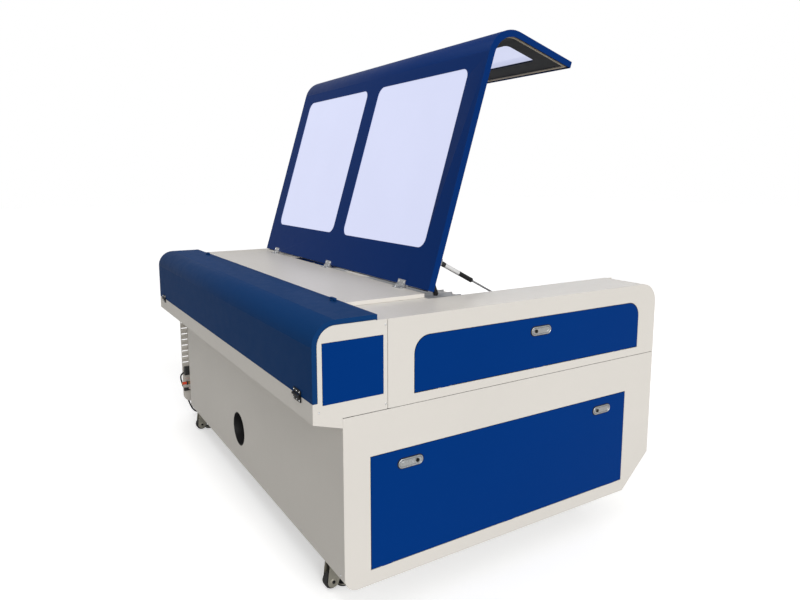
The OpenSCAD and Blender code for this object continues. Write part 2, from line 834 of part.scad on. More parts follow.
module work_table() {
    x = 790;
    y = [-560, 440];
    bar = 40;
    slat_z = [table_h - 25 + weld, table_h];
    bar_z = [table_h - 65, table_h - 25];
    color(alloy) {
        both_sides() block([x - bar, x], y, bar_z);
        for (yy = [y[0], y[1] - bar]) block([bar - x + weld, x - bar - weld], [yy, yy + bar], bar_z);
        for (i = [-9 : 9]) block([i * 80 - 2, i * 80 + 2], y, slat_z);
        both_sides() block([x - 6, x], y, slat_z);
        both_sides() for (yy = screw_places) difference() {
            block([x + weld, box_x - 4], [yy - 18, yy + 18], [bar_z[0], bar_z[0] + 30]);
            translate([screw_x, yy, bar_z[0] - 5]) cylinder(r = screw_r + 0.05, h = 50);
        }
    }
}

screw_x = 815;
screw_places = [-480, 380];

module lift_screws() {
    color(steel) both_sides() for (y = screw_places) {
        translate([screw_x, y, 530]) cylinder(r = screw_r, h = 295);
        translate([screw_x, y, 530]) cylinder(r = 22, h = 14);
    }
}

module control_panel() {
    color(dark) {
        along_x(865, 1035) polygon([[-690, side_h], [-440, side_h], [-440, side_h + 24],
            [-690, side_h + 8]]);
        translate([950, -380, side_h]) difference() {
            cylinder(r = 17, h = 7);
            translate([0, 0, -1]) cylinder(r = 11.4, h = 9);
        }
    }
}

module emergency_stop() {
    color([0.75, 0.05, 0.04]) translate([950, -380, side_h]) {
        translate([0, 0, 14]) cylinder(r = 20, h = 12);
        translate([0, 0, 5.5]) cylinder(r = 11, h = 9);
    }
}

// ---- Casters ----

// Cheek beside a caster wheel, drawn as (y, z)
module cheek_plan() {
    translate([wheel_y, wheel_z]) circle(r = 15);
    polygon([[wheel_y - 14, wheel_z + 5], [wheel_y + 14, wheel_z + 5], [30, plate_z], [-28, plate_z]]);
}

plate_z = rear_panel_z - 11.5;

module caster_fork(x, y) {
    color(steel) translate([x, y, 0]) {
        translate([0, 0, plate_z]) cylinder(r = 34, h = 5);
        translate([0, 0, plate_z + 4]) cylinder(r = 8, h = 7);
        both_sides() along_x(15, 19) cheek_plan();
        block([-19, 19], [-36, -12], [66, plate_z + 1]);
        round_x(4, -19, 19, wheel_y, wheel_z);
        translate([0, foot_y, 0]) cylinder(r = foot_r, h = 8);
        translate([0, foot_y, 7]) cylinder(r = 5, h = 62);
        translate([0, foot_y, 34]) cylinder(r = 13, h = 6);
    }
}

module caster_wheel(x, y) {
    color(dark) translate([x, y, 0]) difference() {
        round_x(wheel_r, -12, 12, wheel_y, wheel_z);
        round_x(4.05, -13, 13, wheel_y, wheel_z);
    }
}

// ---- Cord ----

function ring(p, t) = let (u = cross(t, [0, 0, 1]), a = norm(u) > 0.05 ? u / norm(u) : [1, 0, 0],
    b = cross(a, t) / norm(cross(a, t)))
    [for (i = [0 : cord_sides - 1]) let (w = (i + 0.5) * 360 / cord_sides)
        p + cord_d / 2 * (a * cos(w) + b * sin(w))];

function tangent(path, i) = let (d = path[min(i + 1, len(path) - 1)] - path[max(i - 1, 0)]) d / norm(d);

module tube_sweep(path) {
    n = len(path);
    points = [for (i = [0 : n - 1]) each ring(path[i], tangent(path, i))];
    sides = [for (i = [0 : n - 2]) for (j = [0 : cord_sides - 1])
        [i * cord_sides + j, i * cord_sides + (j + 1) % cord_sides, (i + 1) * cord_sides + (j + 1)
            % cord_sides, (i + 1) * cord_sides + j]];
    ends = [[for (j = [cord_sides - 1 : -1 : 0]) j],
        [for (j = [0 : cord_sides - 1]) (n - 1) * cord_sides + j]];
    polyhedron(points, concat(ends, sides));
}

module cord_run() {
    color(dark) tube_sweep(cord_points);
}

module cord_coil() {
    color(dark) translate([coil_c[0], coil_c[1], 0]) rotate_extrude()
        translate([coil_r - coil_w / 2, 0.1]) square([coil_w, coil_h]);
}

// Plug in the inlet and the plug at the far end, each with a tapered strain relief
module cord_plugs() {
    far_y = coil_c[1] - 54.6;
    far_z = 13.8;
    color(dark) {
        block([inlet[0] - 20, inlet[0] + 20], [recess_y + 5.2, recess_y + 54],
            [inlet[1] - 28, inlet[1] + 27]);
        translate([inlet[0] + 19, 689, 306]) rotate([0, 103, 2]) cylinder(r1 = 7, r2 = 5.2, h = 27);
        block([coil_c[0] - 112, coil_c[0] - 56], [far_y - 19, far_y + 19], [0.2, 26]);
        translate([coil_c[0] - 56.5, far_y, far_z]) rotate([0, 90, 0]) cylinder(r1 = 7, r2 = 5.2, h = 22);
    }
}

base_frame();
base_pan();
lower_panel();  // left_lower_panel
vented_panel();  // right_lower_panel
rear_panel();
front_panel();
side_box();  // left_side_box
mirror([1, 0, 0]) side_box();  // right_side_box
rear_top_cover();
tube_bay();
end_caps();
square_panels();
cover_hinge_plates();
hinge_pins();
exhaust_collar();
y_rails();
laser_tube();
tube_holders();
power_supply();
control_panel();
emergency_stop();
rear_fittings();
lift_screws();
cord_plugs();
cord_run();
cord_coil();
lid_shell();
lid_liner();
lid_windows();
lid_seal();
lid_fittings();
strut_cylinder(-1);  // left_strut_cylinder
strut_rod(-1);  // left_strut_rod
strut_cylinder(1);  // right_strut_cylinder
strut_rod(1);  // right_strut_rod
tube_cover();
cover_latch(-1);  // left_cover_latch
cover_latch(1);  // right_cover_latch
lower_door_shape();  // left_lower_door
mirror([1, 0, 0]) lower_door_shape();  // right_lower_door
upper_door_shape();  // left_upper_door
mirror([1, 0, 0]) upper_door_shape();  // right_upper_door
paddle(lower_latches[0], lower_latch_z, -1);  // left_lower_rear_paddle
paddle(lower_latches[1], lower_latch_z, 1);  // left_lower_front_paddle
mirror([1, 0, 0])  // right_lower_rear_paddle
    paddle(lower_latches[0], lower_latch_z, -1);
mirror([1, 0, 0])  // right_lower_front_paddle
    paddle(lower_latches[1], lower_latch_z, 1);
paddle(upper_latch, upper_latch_z, 1);  // left_upper_paddle
mirror([1, 0, 0]) paddle(upper_latch, upper_latch_z, 1);  // right_upper_paddle
gantry_beam();
carriage();
lens_tube();
work_table();
caster_fork(-caster_x, caster_rear_y);  // rear_left_fork
caster_wheel(-caster_x, caster_rear_y);  // rear_left_wheel
caster_fork(caster_x, caster_rear_y);  // rear_right_fork
caster_wheel(caster_x, caster_rear_y);  // rear_right_wheel
caster_fork(-caster_x, caster_front_y);  // front_left_fork
caster_wheel(-caster_x, caster_front_y);  // front_left_wheel
caster_fork(caster_x, caster_front_y);  // front_right_fork
caster_wheel(caster_x, caster_front_y);  // front_right_wheel
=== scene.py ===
"""Looks of a floor-standing laser engraver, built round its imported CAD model. Metres, row frame."""
import json
import math

import bmesh
import bpy
from mathutils import Matrix, Vector


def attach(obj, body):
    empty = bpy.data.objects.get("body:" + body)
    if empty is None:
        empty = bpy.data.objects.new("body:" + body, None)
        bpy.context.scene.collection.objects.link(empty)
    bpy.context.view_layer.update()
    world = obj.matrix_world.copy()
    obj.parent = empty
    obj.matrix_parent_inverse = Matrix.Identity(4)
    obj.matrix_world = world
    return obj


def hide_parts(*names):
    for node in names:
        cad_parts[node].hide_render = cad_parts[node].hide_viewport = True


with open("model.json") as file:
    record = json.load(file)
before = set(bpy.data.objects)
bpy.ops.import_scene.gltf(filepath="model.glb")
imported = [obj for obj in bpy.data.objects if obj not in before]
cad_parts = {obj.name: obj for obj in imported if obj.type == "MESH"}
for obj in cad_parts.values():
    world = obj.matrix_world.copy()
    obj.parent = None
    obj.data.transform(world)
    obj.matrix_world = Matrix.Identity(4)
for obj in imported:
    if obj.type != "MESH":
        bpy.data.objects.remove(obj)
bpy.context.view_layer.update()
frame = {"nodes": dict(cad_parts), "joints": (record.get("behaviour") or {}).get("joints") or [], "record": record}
nodes = frame["nodes"]

# ---------------------------------------------------------------- camera and light

CAMERA_AT = Vector((-2.761, 1.540, 1.434))
CAMERA_YAW, CAMERA_PITCH = math.radians(-31.8), math.radians(-8.2)
LENS_MM, SHIFT_Y = 29.13, -0.0389


def make_camera():
    data = bpy.data.cameras.new("camera")
    data.lens, data.sensor_width, data.shift_y = LENS_MM, 36.0, SHIFT_Y
    data.clip_start, data.clip_end = 0.05, 100.0
    cam = bpy.data.objects.new("camera", data)
    bpy.context.scene.collection.objects.link(cam)
    level = math.cos(CAMERA_PITCH)
    ahead = Vector((math.cos(CAMERA_YAW) * level, math.sin(CAMERA_YAW) * level, math.sin(CAMERA_PITCH)))
    cam.location = CAMERA_AT
    cam.rotation_mode = "QUATERNION"
    cam.rotation_quaternion = ahead.to_track_quat("-Z", "Y")
    bpy.context.scene.camera = cam


def area_light(name, place, target, size, power):
    data = bpy.data.lights.new(name, "AREA")
    data.shape, data.size, data.size_y, data.energy = "RECTANGLE", size[0], size[1], power
    lamp = bpy.data.objects.new(name, data)
    bpy.context.scene.collection.objects.link(lamp)
    lamp.location = place
    lamp.rotation_mode = "QUATERNION"
    lamp.rotation_quaternion = (Vector(target) - Vector(place)).to_track_quat("-Z", "Y")


def sun_light(name, ahead, strength, spread):
    data = bpy.data.lights.new(name, "SUN")
    data.energy, data.angle = strength, math.radians(spread)
    lamp = bpy.data.objects.new(name, data)
    bpy.context.scene.collection.objects.link(lamp)
    lamp.rotation_mode = "QUATERNION"
    lamp.rotation_quaternion = Vector(ahead).to_track_quat("-Z", "Y")


def make_world():
    world = bpy.data.worlds.new("studio")
    bpy.context.scene.world = world
    world.use_nodes = True
    tree = world.node_tree
    tree.nodes.clear()
    out = tree.nodes.new("ShaderNodeOutputWorld")
    lit, seen, mix = (tree.nodes.new("ShaderNodeBackground"), tree.nodes.new("ShaderNodeBackground"),
                      tree.nodes.new("ShaderNodeMixShader"))
    ray = tree.nodes.new("ShaderNodeLightPath")
    lit.inputs["Color"].default_value = (1.0, 0.99, 0.975, 1)
    lit.inputs["Strength"].default_value = 0.43
    seen.inputs["Color"].default_value = (1, 1, 1, 1)
    seen.inputs["Strength"].default_value = 1.0
    tree.links.new(ray.outputs["Is Camera Ray"], mix.inputs[0])
    tree.links.new(lit.outputs[0], mix.inputs[1])
    tree.links.new(seen.outputs[0], mix.inputs[2])
    tree.links.new(mix.outputs[0], out.inputs["Surface"])


make_camera()
make_world()
sun_light("key", (0.75, -0.03, -0.30), 2.30, 40)
area_light("front_fill", (2.6, -4.6, 2.6), (0.0, 0.0, 0.7), (3.4, 2.2), 30)
area_light("rear_fill", (0.6, 5.0, 2.4), (0.0, 0.5, 0.6), (4.0, 2.4), 6)
area_light("top_fill", (0.2, 1.6, 4.2), (0.0, 0.45, 1.0), (2.6, 1.6), 30)
bpy.context.scene.view_settings.view_transform = "Standard"

# ---------------------------------------------------------------- materials


class Look:
    """One procedural material: a Principled shader with a few texture helpers."""

    def __init__(self, name, **sockets):
        self.material = bpy.data.materials.new(name)
        self.material.use_nodes = True
        self.tree = self.material.node_tree
        self.shader = next(n for n in self.tree.nodes if n.type == "BSDF_PRINCIPLED")
        for socket, value in sockets.items():
            self.shader.inputs[socket.replace("_", " ")].default_value = value
        self.place = self.tree.nodes.new("ShaderNodeTexCoord").outputs["Object"]

    def node(self, kind, **values):
        made = self.tree.nodes.new(kind)
        for key, value in values.items():
            if key in made.inputs:
                made.inputs[key].default_value = value
            else:
                setattr(made, key, value)
        return made

    def link(self, a, b):
        self.tree.links.new(a, b)

    def stretched(self, scale):
        mapping = self.node("ShaderNodeMapping", Scale=scale)
        self.link(self.place, mapping.inputs["Vector"])
        return mapping.outputs["Vector"]

    def noise(self, scale, detail=2.0, rough=0.5, vector=None):
        made = self.node("ShaderNodeTexNoise", Scale=scale, Detail=detail, Roughness=rough)
        self.link(vector or self.place, made.inputs["Vector"])
        return made.outputs["Fac"]

    def ramp(self, fac, low, high):
        """Maps fac from 0.3..0.7 to low..high."""
        made = self.node("ShaderNodeMapRange")
        for key, value in (("From Min", 0.3), ("From Max", 0.7), ("To Min", low), ("To Max", high)):
            made.inputs[key].default_value = value
        self.link(fac, made.inputs["Value"])
        return made.outputs["Result"]

    def colours(self, fac, first, second):
        made = self.node("ShaderNodeMix", data_type="RGBA")
        made.inputs["A"].default_value = (*first, 1)
        made.inputs["B"].default_value = (*second, 1)
        self.link(fac, made.inputs["Factor"])
        return made.outputs["Result"]

    def paint(self, output, socket):
        self.link(output, self.shader.inputs[socket])

    def bump(self, *layers):
        """Layers are (height output, distance in metres, strength)."""
        last = None
        for height, distance, strength in layers:
            made = self.node("ShaderNodeBump", Distance=distance, Strength=strength)
            self.link(height, made.inputs["Height"])
            if last:
                self.link(last, made.inputs["Normal"])
            last = made.outputs["Normal"]
        self.link(last, self.shader.inputs["Normal"])


def shade(colour, share):
    return tuple(c * share for c in colour)


def powder_coat(name, colour, rough=0.38, peel=0.05, coat=0.0, tone=0.02, dust=(0.60, 0.60, 0.58),
    dusty=0.012,
                tint=(1.0, 1.0, 1.0), specular=0.5):
    """Sprayed paint on sheet steel: fine orange peel, faint tone drift and a little dust in patches."""
    look = Look(name, Coat_Weight=coat, Coat_Roughness=0.12, Specular_Tint=(*tint, 1),
        Specular_IOR_Level=specular)
    drift = look.noise(1.6, 3.0)
    base = look.colours(look.ramp(drift, 0.0, 1.0), shade(colour, 1 - tone), shade(colour, 1 + tone))
    smear = look.noise(9.0, 6.0, 0.62, look.stretched((1.0, 1.0, 2.4)))
    film = look.node("ShaderNodeMix", data_type="RGBA")
    film.inputs["B"].default_value = (*dust, 1)
    look.link(base, film.inputs["A"])
    look.link(look.ramp(smear, 0.0, dusty), film.inputs["Factor"])
    look.paint(film.outputs["Result"], "Base Color")
    look.paint(look.ramp(look.noise(26.0, 4.0), rough - 0.02, rough + 0.03), "Roughness")
    look.bump((look.noise(420.0, 1.5), 0.0002, peel), (look.noise(1.3, 1.0), 0.003, 0.03))
    return look.material


def metal(name, colour, rough, grain=(1, 1, 1), grain_scale=400.0, depth=0.12, metallic=1.0, tone=0.06):
    """Bare or plated metal with a directional grain."""
    look = Look(name, Metallic=metallic)
    streak = look.noise(grain_scale, 3.0, 0.6, look.stretched(grain))
    look.paint(look.colours(look.ramp(look.noise(14.0, 4.0), 0.0, 1.0), shade(colour, 1 - tone),
        shade(colour, 1 + tone)), "Base Color")
    look.paint(look.ramp(streak, rough - 0.07, rough + 0.09), "Roughness")
    look.bump((streak, 0.0003, depth))
    return look.material


def plastic(name, colour, rough=0.5, texture=900.0, depth=0.2, tone=0.12):
    """Moulded plastic or rubber with a fine spark-eroded texture."""
    look = Look(name)
    look.paint(look.colours(look.ramp(look.noise(22.0, 4.0), 0.0, 1.0), shade(colour, 1 - tone),
        shade(colour, 1 + tone)), "Base Color")
    look.paint(look.ramp(look.noise(60.0, 3.0), rough - 0.06, rough + 0.08), "Roughness")
    look.bump((look.noise(texture, 2.0), 0.0003, depth))
    return look.material


def acrylic(name, colour, alpha, rough=0.08, glow=0.0, painted_glow_colour=(1.0, 1.0, 1.0)):
    """Tinted sheet: faint casting waves and fine dust, with an optional painted glow (emission) that lights it
    though it is no lamp.
    """
    # The emission is a painted glow: the sheet lights itself to look as bright as the pale backdrop behind it.
    look = Look(name, Roughness=rough, IOR=1.49, Alpha=alpha, Coat_Weight=0.1, Emission_Strength=glow)
    cast = look.ramp(look.noise(3.0, 3.0), 0.0, 1.0)
    look.paint(look.colours(cast, shade(colour, 0.985), shade(colour, 1.015)), "Base Color")
    look.paint(look.colours(cast, shade(painted_glow_colour, 0.99), shade(painted_glow_colour, 1.01)), "Emission Color")
    look.bump((look.noise(5.0, 1.0), 0.003, 0.05))
    return look.material


WHITE = (0.660, 0.630, 0.585)
MATERIALS = {
    "white_paint": powder_coat("white_paint", WHITE),
    "door_blue": powder_coat("door_blue", (0.0010, 0.032, 0.182), rough=0.36, tint=(0.05, 0.30, 1.0),
        dusty=0.0,
                              specular=0.04),
    "cover_blue": powder_coat("cover_blue", (0.0060, 0.040, 0.140), rough=0.45, tint=(0.30, 0.60, 1.0),
        dusty=0.001,
                               specular=0.02),
    "lid_blue": powder_coat("lid_blue", (0.0020, 0.026, 0.145), rough=0.38, tint=(0.20, 0.50, 1.0),
        dusty=0.0,
                             specular=0.06),
    "frame_paint": powder_coat("frame_paint", (0.42, 0.43, 0.44), rough=0.5, peel=0.1),
    # Lid lining: near black, painted shade standing in for the shadowed dark blue underside of the lid.
    "liner_black": powder_coat("liner_black", (0.006, 0.008, 0.012), rough=0.6, dusty=0.004),
    # The lid windows get a painted glow in pale lavender, standing in for the bright backdrop seen through them.
    "window_acrylic": acrylic("window_acrylic", (0.18, 0.19, 0.25), 0.94, glow=0.77,
        painted_glow_colour=(0.70, 0.735, 0.96)),
    "tube_glass": acrylic("tube_glass", (0.80, 0.90, 0.93), 0.35, rough=0.02),
    "seal_rubber": plastic("seal_rubber", (0.58, 0.50, 0.38), rough=0.8, texture=500.0, depth=0.5),
    "bright_steel": metal("bright_steel", (0.66, 0.67, 0.69), 0.24, grain=(1, 12, 12)),
    "black_metal": powder_coat("black_metal", (0.009, 0.009, 0.010), rough=0.42, peel=0.2, dusty=0.01,
        specular=0.2),
    "black_plastic": plastic("black_plastic", (0.014, 0.014, 0.015)),
    "psu_metal": metal("psu_metal", (0.58, 0.59, 0.60), 0.42, grain=(1, 1, 1), grain_scale=150.0),
    "brass": metal("brass", (0.66, 0.44, 0.16), 0.26, grain=(6, 1, 6)),
    "cord_rubber": plastic("cord_rubber", (0.012, 0.012, 0.013), rough=0.55, texture=700.0),
    "zinc": metal("zinc", (0.72, 0.73, 0.74), 0.30, grain=(1, 1, 1), grain_scale=260.0, depth=0.08),
    "aluminium": metal("aluminium", (0.70, 0.71, 0.73), 0.34, grain=(1, 14, 14)),
    "head_black": metal("head_black", (0.035, 0.036, 0.040), 0.40, grain_scale=260.0),
    "stop_red": plastic("stop_red", (0.52, 0.012, 0.010), rough=0.25, depth=0.05),
    "caster_grey": metal("caster_grey", (0.50, 0.48, 0.41), 0.42, grain_scale=120.0),
    "wheel_nylon": plastic("wheel_nylon", (0.018, 0.018, 0.019), rough=0.5),
    "red_hose": plastic("red_hose", (0.70, 0.060, 0.020), rough=0.35, depth=0.08),
    "belt_rubber": plastic("belt_rubber", (0.02, 0.02, 0.022), rough=0.7, depth=0.4),
    "screen_glass": plastic("screen_glass", (0.012, 0.020, 0.030), rough=0.12, depth=0.02),
    "key_grey": plastic("key_grey", (0.42, 0.43, 0.45), rough=0.45),
    "stop_yellow": plastic("stop_yellow", (0.72, 0.50, 0.03), rough=0.4, depth=0.05),
    "shadow_black": plastic("shadow_black", (0.006, 0.006, 0.008), rough=0.7),
    "label_silver": metal("label_silver", (0.80, 0.80, 0.80), 0.45, grain_scale=90.0, depth=0.03,
        metallic=0.5),
    "hose_pale": plastic("hose_pale", (0.62, 0.50, 0.46), rough=0.3, depth=0.05),
}

SLOT_OF = {s["node"]: s["material_slot"] for s in frame["record"]["subparts"]}
SHEET_METAL = {"left_lower_panel", "right_lower_panel", "rear_panel", "front_panel", "left_side_box",
    "right_side_box",
               "rear_top_cover", "tube_bay", "end_caps", "square_panels", "tube_cover", "lid_shell",
               "left_lower_door", "right_lower_door", "left_upper_door", "right_upper_door"}


def soften_edges(piece, width, angle=35.0):
    """Rounds the sharp edges of a CAD piece as paint and folding would."""
    weld = piece.modifiers.new("weld", "WELD")
    weld.merge_threshold = 0.00001
    bevel = piece.modifiers.new("edges", "BEVEL")
    bevel.width, bevel.segments, bevel.limit_method = width, 2, "ANGLE"
    bevel.angle_limit = math.radians(angle)
    bevel.harden_normals = False
    bevel.use_clamp_overlap = True


CASTINGS = {f"{corner}_{part}" for corner in ("rear_left", "rear_right", "front_left",
    "front_right") for part in ("fork", "wheel")}
PADDLES = {name for name in nodes if name.endswith("_paddle")}

for node_name, piece in nodes.items():
    piece.data.materials.clear()
    piece.data.materials.append(MATERIALS[SLOT_OF[node_name]])
    if node_name in SHEET_METAL:
        soften_edges(piece, 0.0009)
    elif node_name in CASTINGS:
        soften_edges(piece, 0.0016)
    elif node_name in PADDLES:
        soften_edges(piece, 0.0022)
    elif node_name in ("left_cover_latch", "right_cover_latch", "tube_holders", "gantry_beam", "carriage",
        "control_panel"):
        soften_edges(piece, 0.0008)

# ---------------------------------------------------------------- shapes


def point_on(place, u, v, w=0.0):
    return place @ Vector((u, v, w))


def facing(at, axis):
    """Place whose local Z is the given axis, with local Y as near to up as it can be."""
    normal = Vector(axis).normalized()
    up = Vector((0, 0, 1)) if abs(normal.z) < 0.9 else Vector((0, 1, 0))
    side = up.cross(normal).normalized()
    rows = Matrix((side, normal.cross(side), normal)).transposed().to_4x4()
    return Matrix.Translation(Vector(at)) @ rows


def block(bm, low, high, place=None):
    """Box between two corners, in the row frame or in a place of its own."""
    corners = [(x, y, z) for x in (low[0], high[0]) for y in (low[1], high[1]) for z in (low[2], high[2])]
    v = [bm.verts.new((place @ Vector(c)) if place else c) for c in corners]
    for face in ((0, 1, 3, 2), (4, 6, 7, 5), (0, 4, 5, 1), (2, 3, 7, 6), (0, 2, 6, 4), (1, 5, 7, 3)):
        bm.faces.new([v[i] for i in face])


def lathe(bm, at, axis, profile, segments=28):
    """Turned shape: profile gives (distance along the axis, radius) from one end to the other."""
    place = facing(at, axis)
    rings = []
    for along, radius in profile:
        if radius <= 0:
            rings.append([bm.verts.new(point_on(place, 0, 0, along))])
            continue
        angles = [2 * math.pi * i / segments for i in range(segments)]
        rings.append([bm.verts.new(point_on(place, radius * math.cos(a), radius * math.sin(a),
            along)) for a in angles])
    for first, second in zip(rings, rings[1:]):
        for i in range(segments):
            j = (i + 1) % segments
            corners = [first[i % len(first)], first[j % len(first)], second[j % len(second)],
                second[i % len(second)]]
            unique = list(dict.fromkeys(corners))
            if len(unique) > 2:
                bm.faces.new(unique)


def prism(bm, outline, place, depth):
    """Outline in a place's own XY, raised along its Z."""
    low = [bm.verts.new(point_on(place, u, v)) for u, v in outline]
    high = [bm.verts.new(point_on(place, u, v, depth)) for u, v in outline]
    bm.faces.new(low[::-1])
    bm.faces.new(high)
    for i in range(len(outline)):
        j = (i + 1) % len(outline)
        bm.faces.new((low[i], low[j], high[j], high[i]))


def band(bm, outer, inner, place, depth):
    """Raised frame between two outlines with as many points."""
    count = len(outer)
    rows = [[bm.verts.new(point_on(place, u, v, w)) for u, v in line]
            for line, w in ((outer, 0.0), (outer, depth), (inner, depth), (inner, 0.0))]
    for a, b in zip(rows, rows[1:] + rows[:1]):
        for i in range(count):
            j = (i + 1) % count
            bm.faces.new((a[i], a[j], b[j], b[i]))


def rounded(width, height, radius, steps=6):
    """Outline of a rectangle with round corners, centred."""
    line = []
    for quarter, (sx, sy) in enumerate(((1, 1), (-1, 1), (-1, -1), (1, -1))):
        cx, cy = sx * (width / 2 - radius), sy * (height / 2 - radius)
        for i in range(steps + 1):
            a = math.radians(90 * quarter + 90 * i / steps)
            line.append((cx + radius * math.cos(a), cy + radius * math.sin(a)))
    return line


def tube(bm, points, radius, segments=12):
    """Round tube along a list of points, closed at both ends."""
    points = [Vector(p) for p in points]
    rings, side = [], None
    for i, p in enumerate(points):
        ahead = (points[min(i + 1, len(points) - 1)] - points[max(i - 1, 0)]).normalized()
        side = (side - ahead * side.dot(ahead)).normalized() if side else ahead.orthogonal().normalized()
        other = ahead.cross(side)
        rings.append([bm.verts.new(p + radius * (side * math.cos(a) + other * math.sin(a)))
                      for a in (2 * math.pi * k / segments for k in range(segments))])
    for a, b in zip(rings, rings[1:]):
        for k in range(segments):
            j = (k + 1) % segments
            bm.faces.new((a[k], a[j], b[j], b[k]))
    bm.faces.new(rings[0][::-1])
    bm.faces.new(rings[-1])


def screw(bm, at, axis, radius=0.0035, height=0.0022):
    """Pan head with a hexagon socket."""
    lathe(bm, at, axis, [(-0.0005, 0), (-0.0005, radius), (0.35 * height, radius),
        (0.8 * height, 0.82 * radius),
                         (height, 0.5 * radius), (0.35 * height, 0.42 * radius), (0.35 * height, 0)], 18)


def hex_head(bm, at, axis, radius=0.008, height=0.005):
    lathe(bm, at, axis, [(0, 0), (0, radius * 1.3), (0.001, radius * 1.3), (0.001, radius)], 6)
    lathe(bm, at, axis, [(0.001, radius), (height * 0.85, radius), (height, radius * 0.86), (height, 0)], 6)


def finished(name, bm, body, look, bevel=0.0, angle=34.0, segments=2):
    """Turns a bmesh into a piece that rides on a body, with its material and softened edges."""
    bmesh.ops.remove_doubles(bm, verts=bm.verts, dist=0.000001)
    bmesh.ops.recalc_face_normals(bm, faces=bm.faces)
    mesh = bpy.data.meshes.new(name)
    bm.to_mesh(mesh)
    bm.free()
    mesh.shade_smooth()
    mesh.set_sharp_from_angle(angle=math.radians(angle))
    mesh.materials.append(MATERIALS[look])
    piece = bpy.data.objects.new(name, mesh)
    bpy.context.scene.collection.objects.link(piece)
    if bevel:
        edge = piece.modifiers.new("edges", "BEVEL")
        edge.width, edge.segments, edge.limit_method, edge.angle_limit = bevel, segments, "ANGLE", math.radians(30)
    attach(piece, body)
    return piece


JOINTS = {j["name"]: j for j in frame["joints"]}
SIDES = (("left", -1), ("right", 1))
HALF_W, CABINET_Y, REAR_Y, SIDE_TOP = 1.050, 0.686, 0.786, 0.989

# ---------------------------------------------------------------- mains lead

CORD_D = 0.009
COIL_AT = Vector((1.190, 0.300, 0.0))
CORD_RUN = [
    (990, 690, 300), (1003, 693, 295), (1017, 696, 287), (1031, 698, 276), (1043, 698, 262), (1053, 695,
        245),
    (1060, 690, 226), (1065, 684, 205), (1068, 677, 183), (1070, 670, 160), (1072, 663, 137), (1074, 656,
        114),
    (1076, 649, 92), (1079, 641, 70), (1083, 632, 50), (1089, 621, 33), (1097, 607, 19), (1107, 591, 10),
    (1119, 572, 5.6), (1132, 551, 4.6), (1146, 527, 4.6), (1160, 501, 4.6), (1174, 474, 4.6), (1189, 445,
        4.6),
    (1203, 418, 4.6), (1216, 393, 4.6), (1229, 371, 4.6), (1239, 351, 4.6), (1244.6, 327, 4.6)]
COIL_TURNS, COIL_STEPS = 3.25, 18
COIL_OUTER, COIL_INNER, COIL_LOW, COIL_HIGH = 0.0546, 0.0454, 0.0046, 0.0138
INWARD_AT, RISE_AT, OUTWARD_AT, SHIFT_TURNS = 0.91, 1.75, 2.60, 0.10
FAR_RELIEF_X = COIL_AT.x - 0.0345


def eased(value, middle, half):
    t = min(1.0, max(0.0, (value - middle + half) / (2 * half)))
    return t * t * (3 - 2 * t)


def coil_points():
    points = []
    for i in range(int(COIL_TURNS * COIL_STEPS) + 1):
        turns = i / COIL_STEPS
        inside = eased(turns, INWARD_AT, SHIFT_TURNS) - eased(turns, OUTWARD_AT, SHIFT_TURNS)
        radius = COIL_OUTER + (COIL_INNER - COIL_OUTER) * inside
        height = COIL_LOW + (COIL_HIGH - COIL_LOW) * eased(turns, RISE_AT, SHIFT_TURNS)
        a = -2 * math.pi * turns
        points.append((COIL_AT.x + radius * math.cos(a), COIL_AT.y + radius * math.sin(a), height))
    return points


def make_cord():
    points = [(x / 1000, y / 1000, z / 1000) for x, y, z in CORD_RUN] + coil_points()
    points += [(points[-1][0] - 0.010, points[-1][1] - 0.0003, COIL_HIGH),
        (FAR_RELIEF_X - 0.004, points[-1][1], COIL_HIGH)]
    curve = bpy.data.curves.new("mains_cord", "CURVE")
    curve.dimensions, curve.bevel_depth, curve.bevel_resolution = "3D", CORD_D / 2, 3
    curve.resolution_u, curve.use_fill_caps = 4, True
    spline = curve.splines.new("BEZIER")
    spline.bezier_points.add(len(points) - 1)
    for knot, p in zip(spline.bezier_points, points):
        knot.co = p
        knot.handle_left_type = knot.handle_right_type = "AUTO"
    curve.materials.append(MATERIALS["cord_rubber"])
    cord = bpy.data.objects.new("mains_cord", curve)
    bpy.context.scene.collection.objects.link(cord)
    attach(cord, "cabinet")
    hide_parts("cord_run", "cord_coil")
    return cord


def relief(bm, start, ahead, length, wide, narrow):
    """Moulded strain relief: a taper with grooves round it."""
    profile, ribs = [(0, 0), (0, wide)], 5
    for i in range(ribs):
        near, far = (i + 0.25) / ribs, (i + 0.75) / ribs
        for t, dip in ((near, 0), (near + 0.03, 0.0011), (far, 0.0011), (far + 0.03, 0)):
            profile.append((length * t, wide + (narrow - wide) * t - dip))
    lathe(bm, start, ahead, profile + [(length, narrow), (length, 0)], 24)


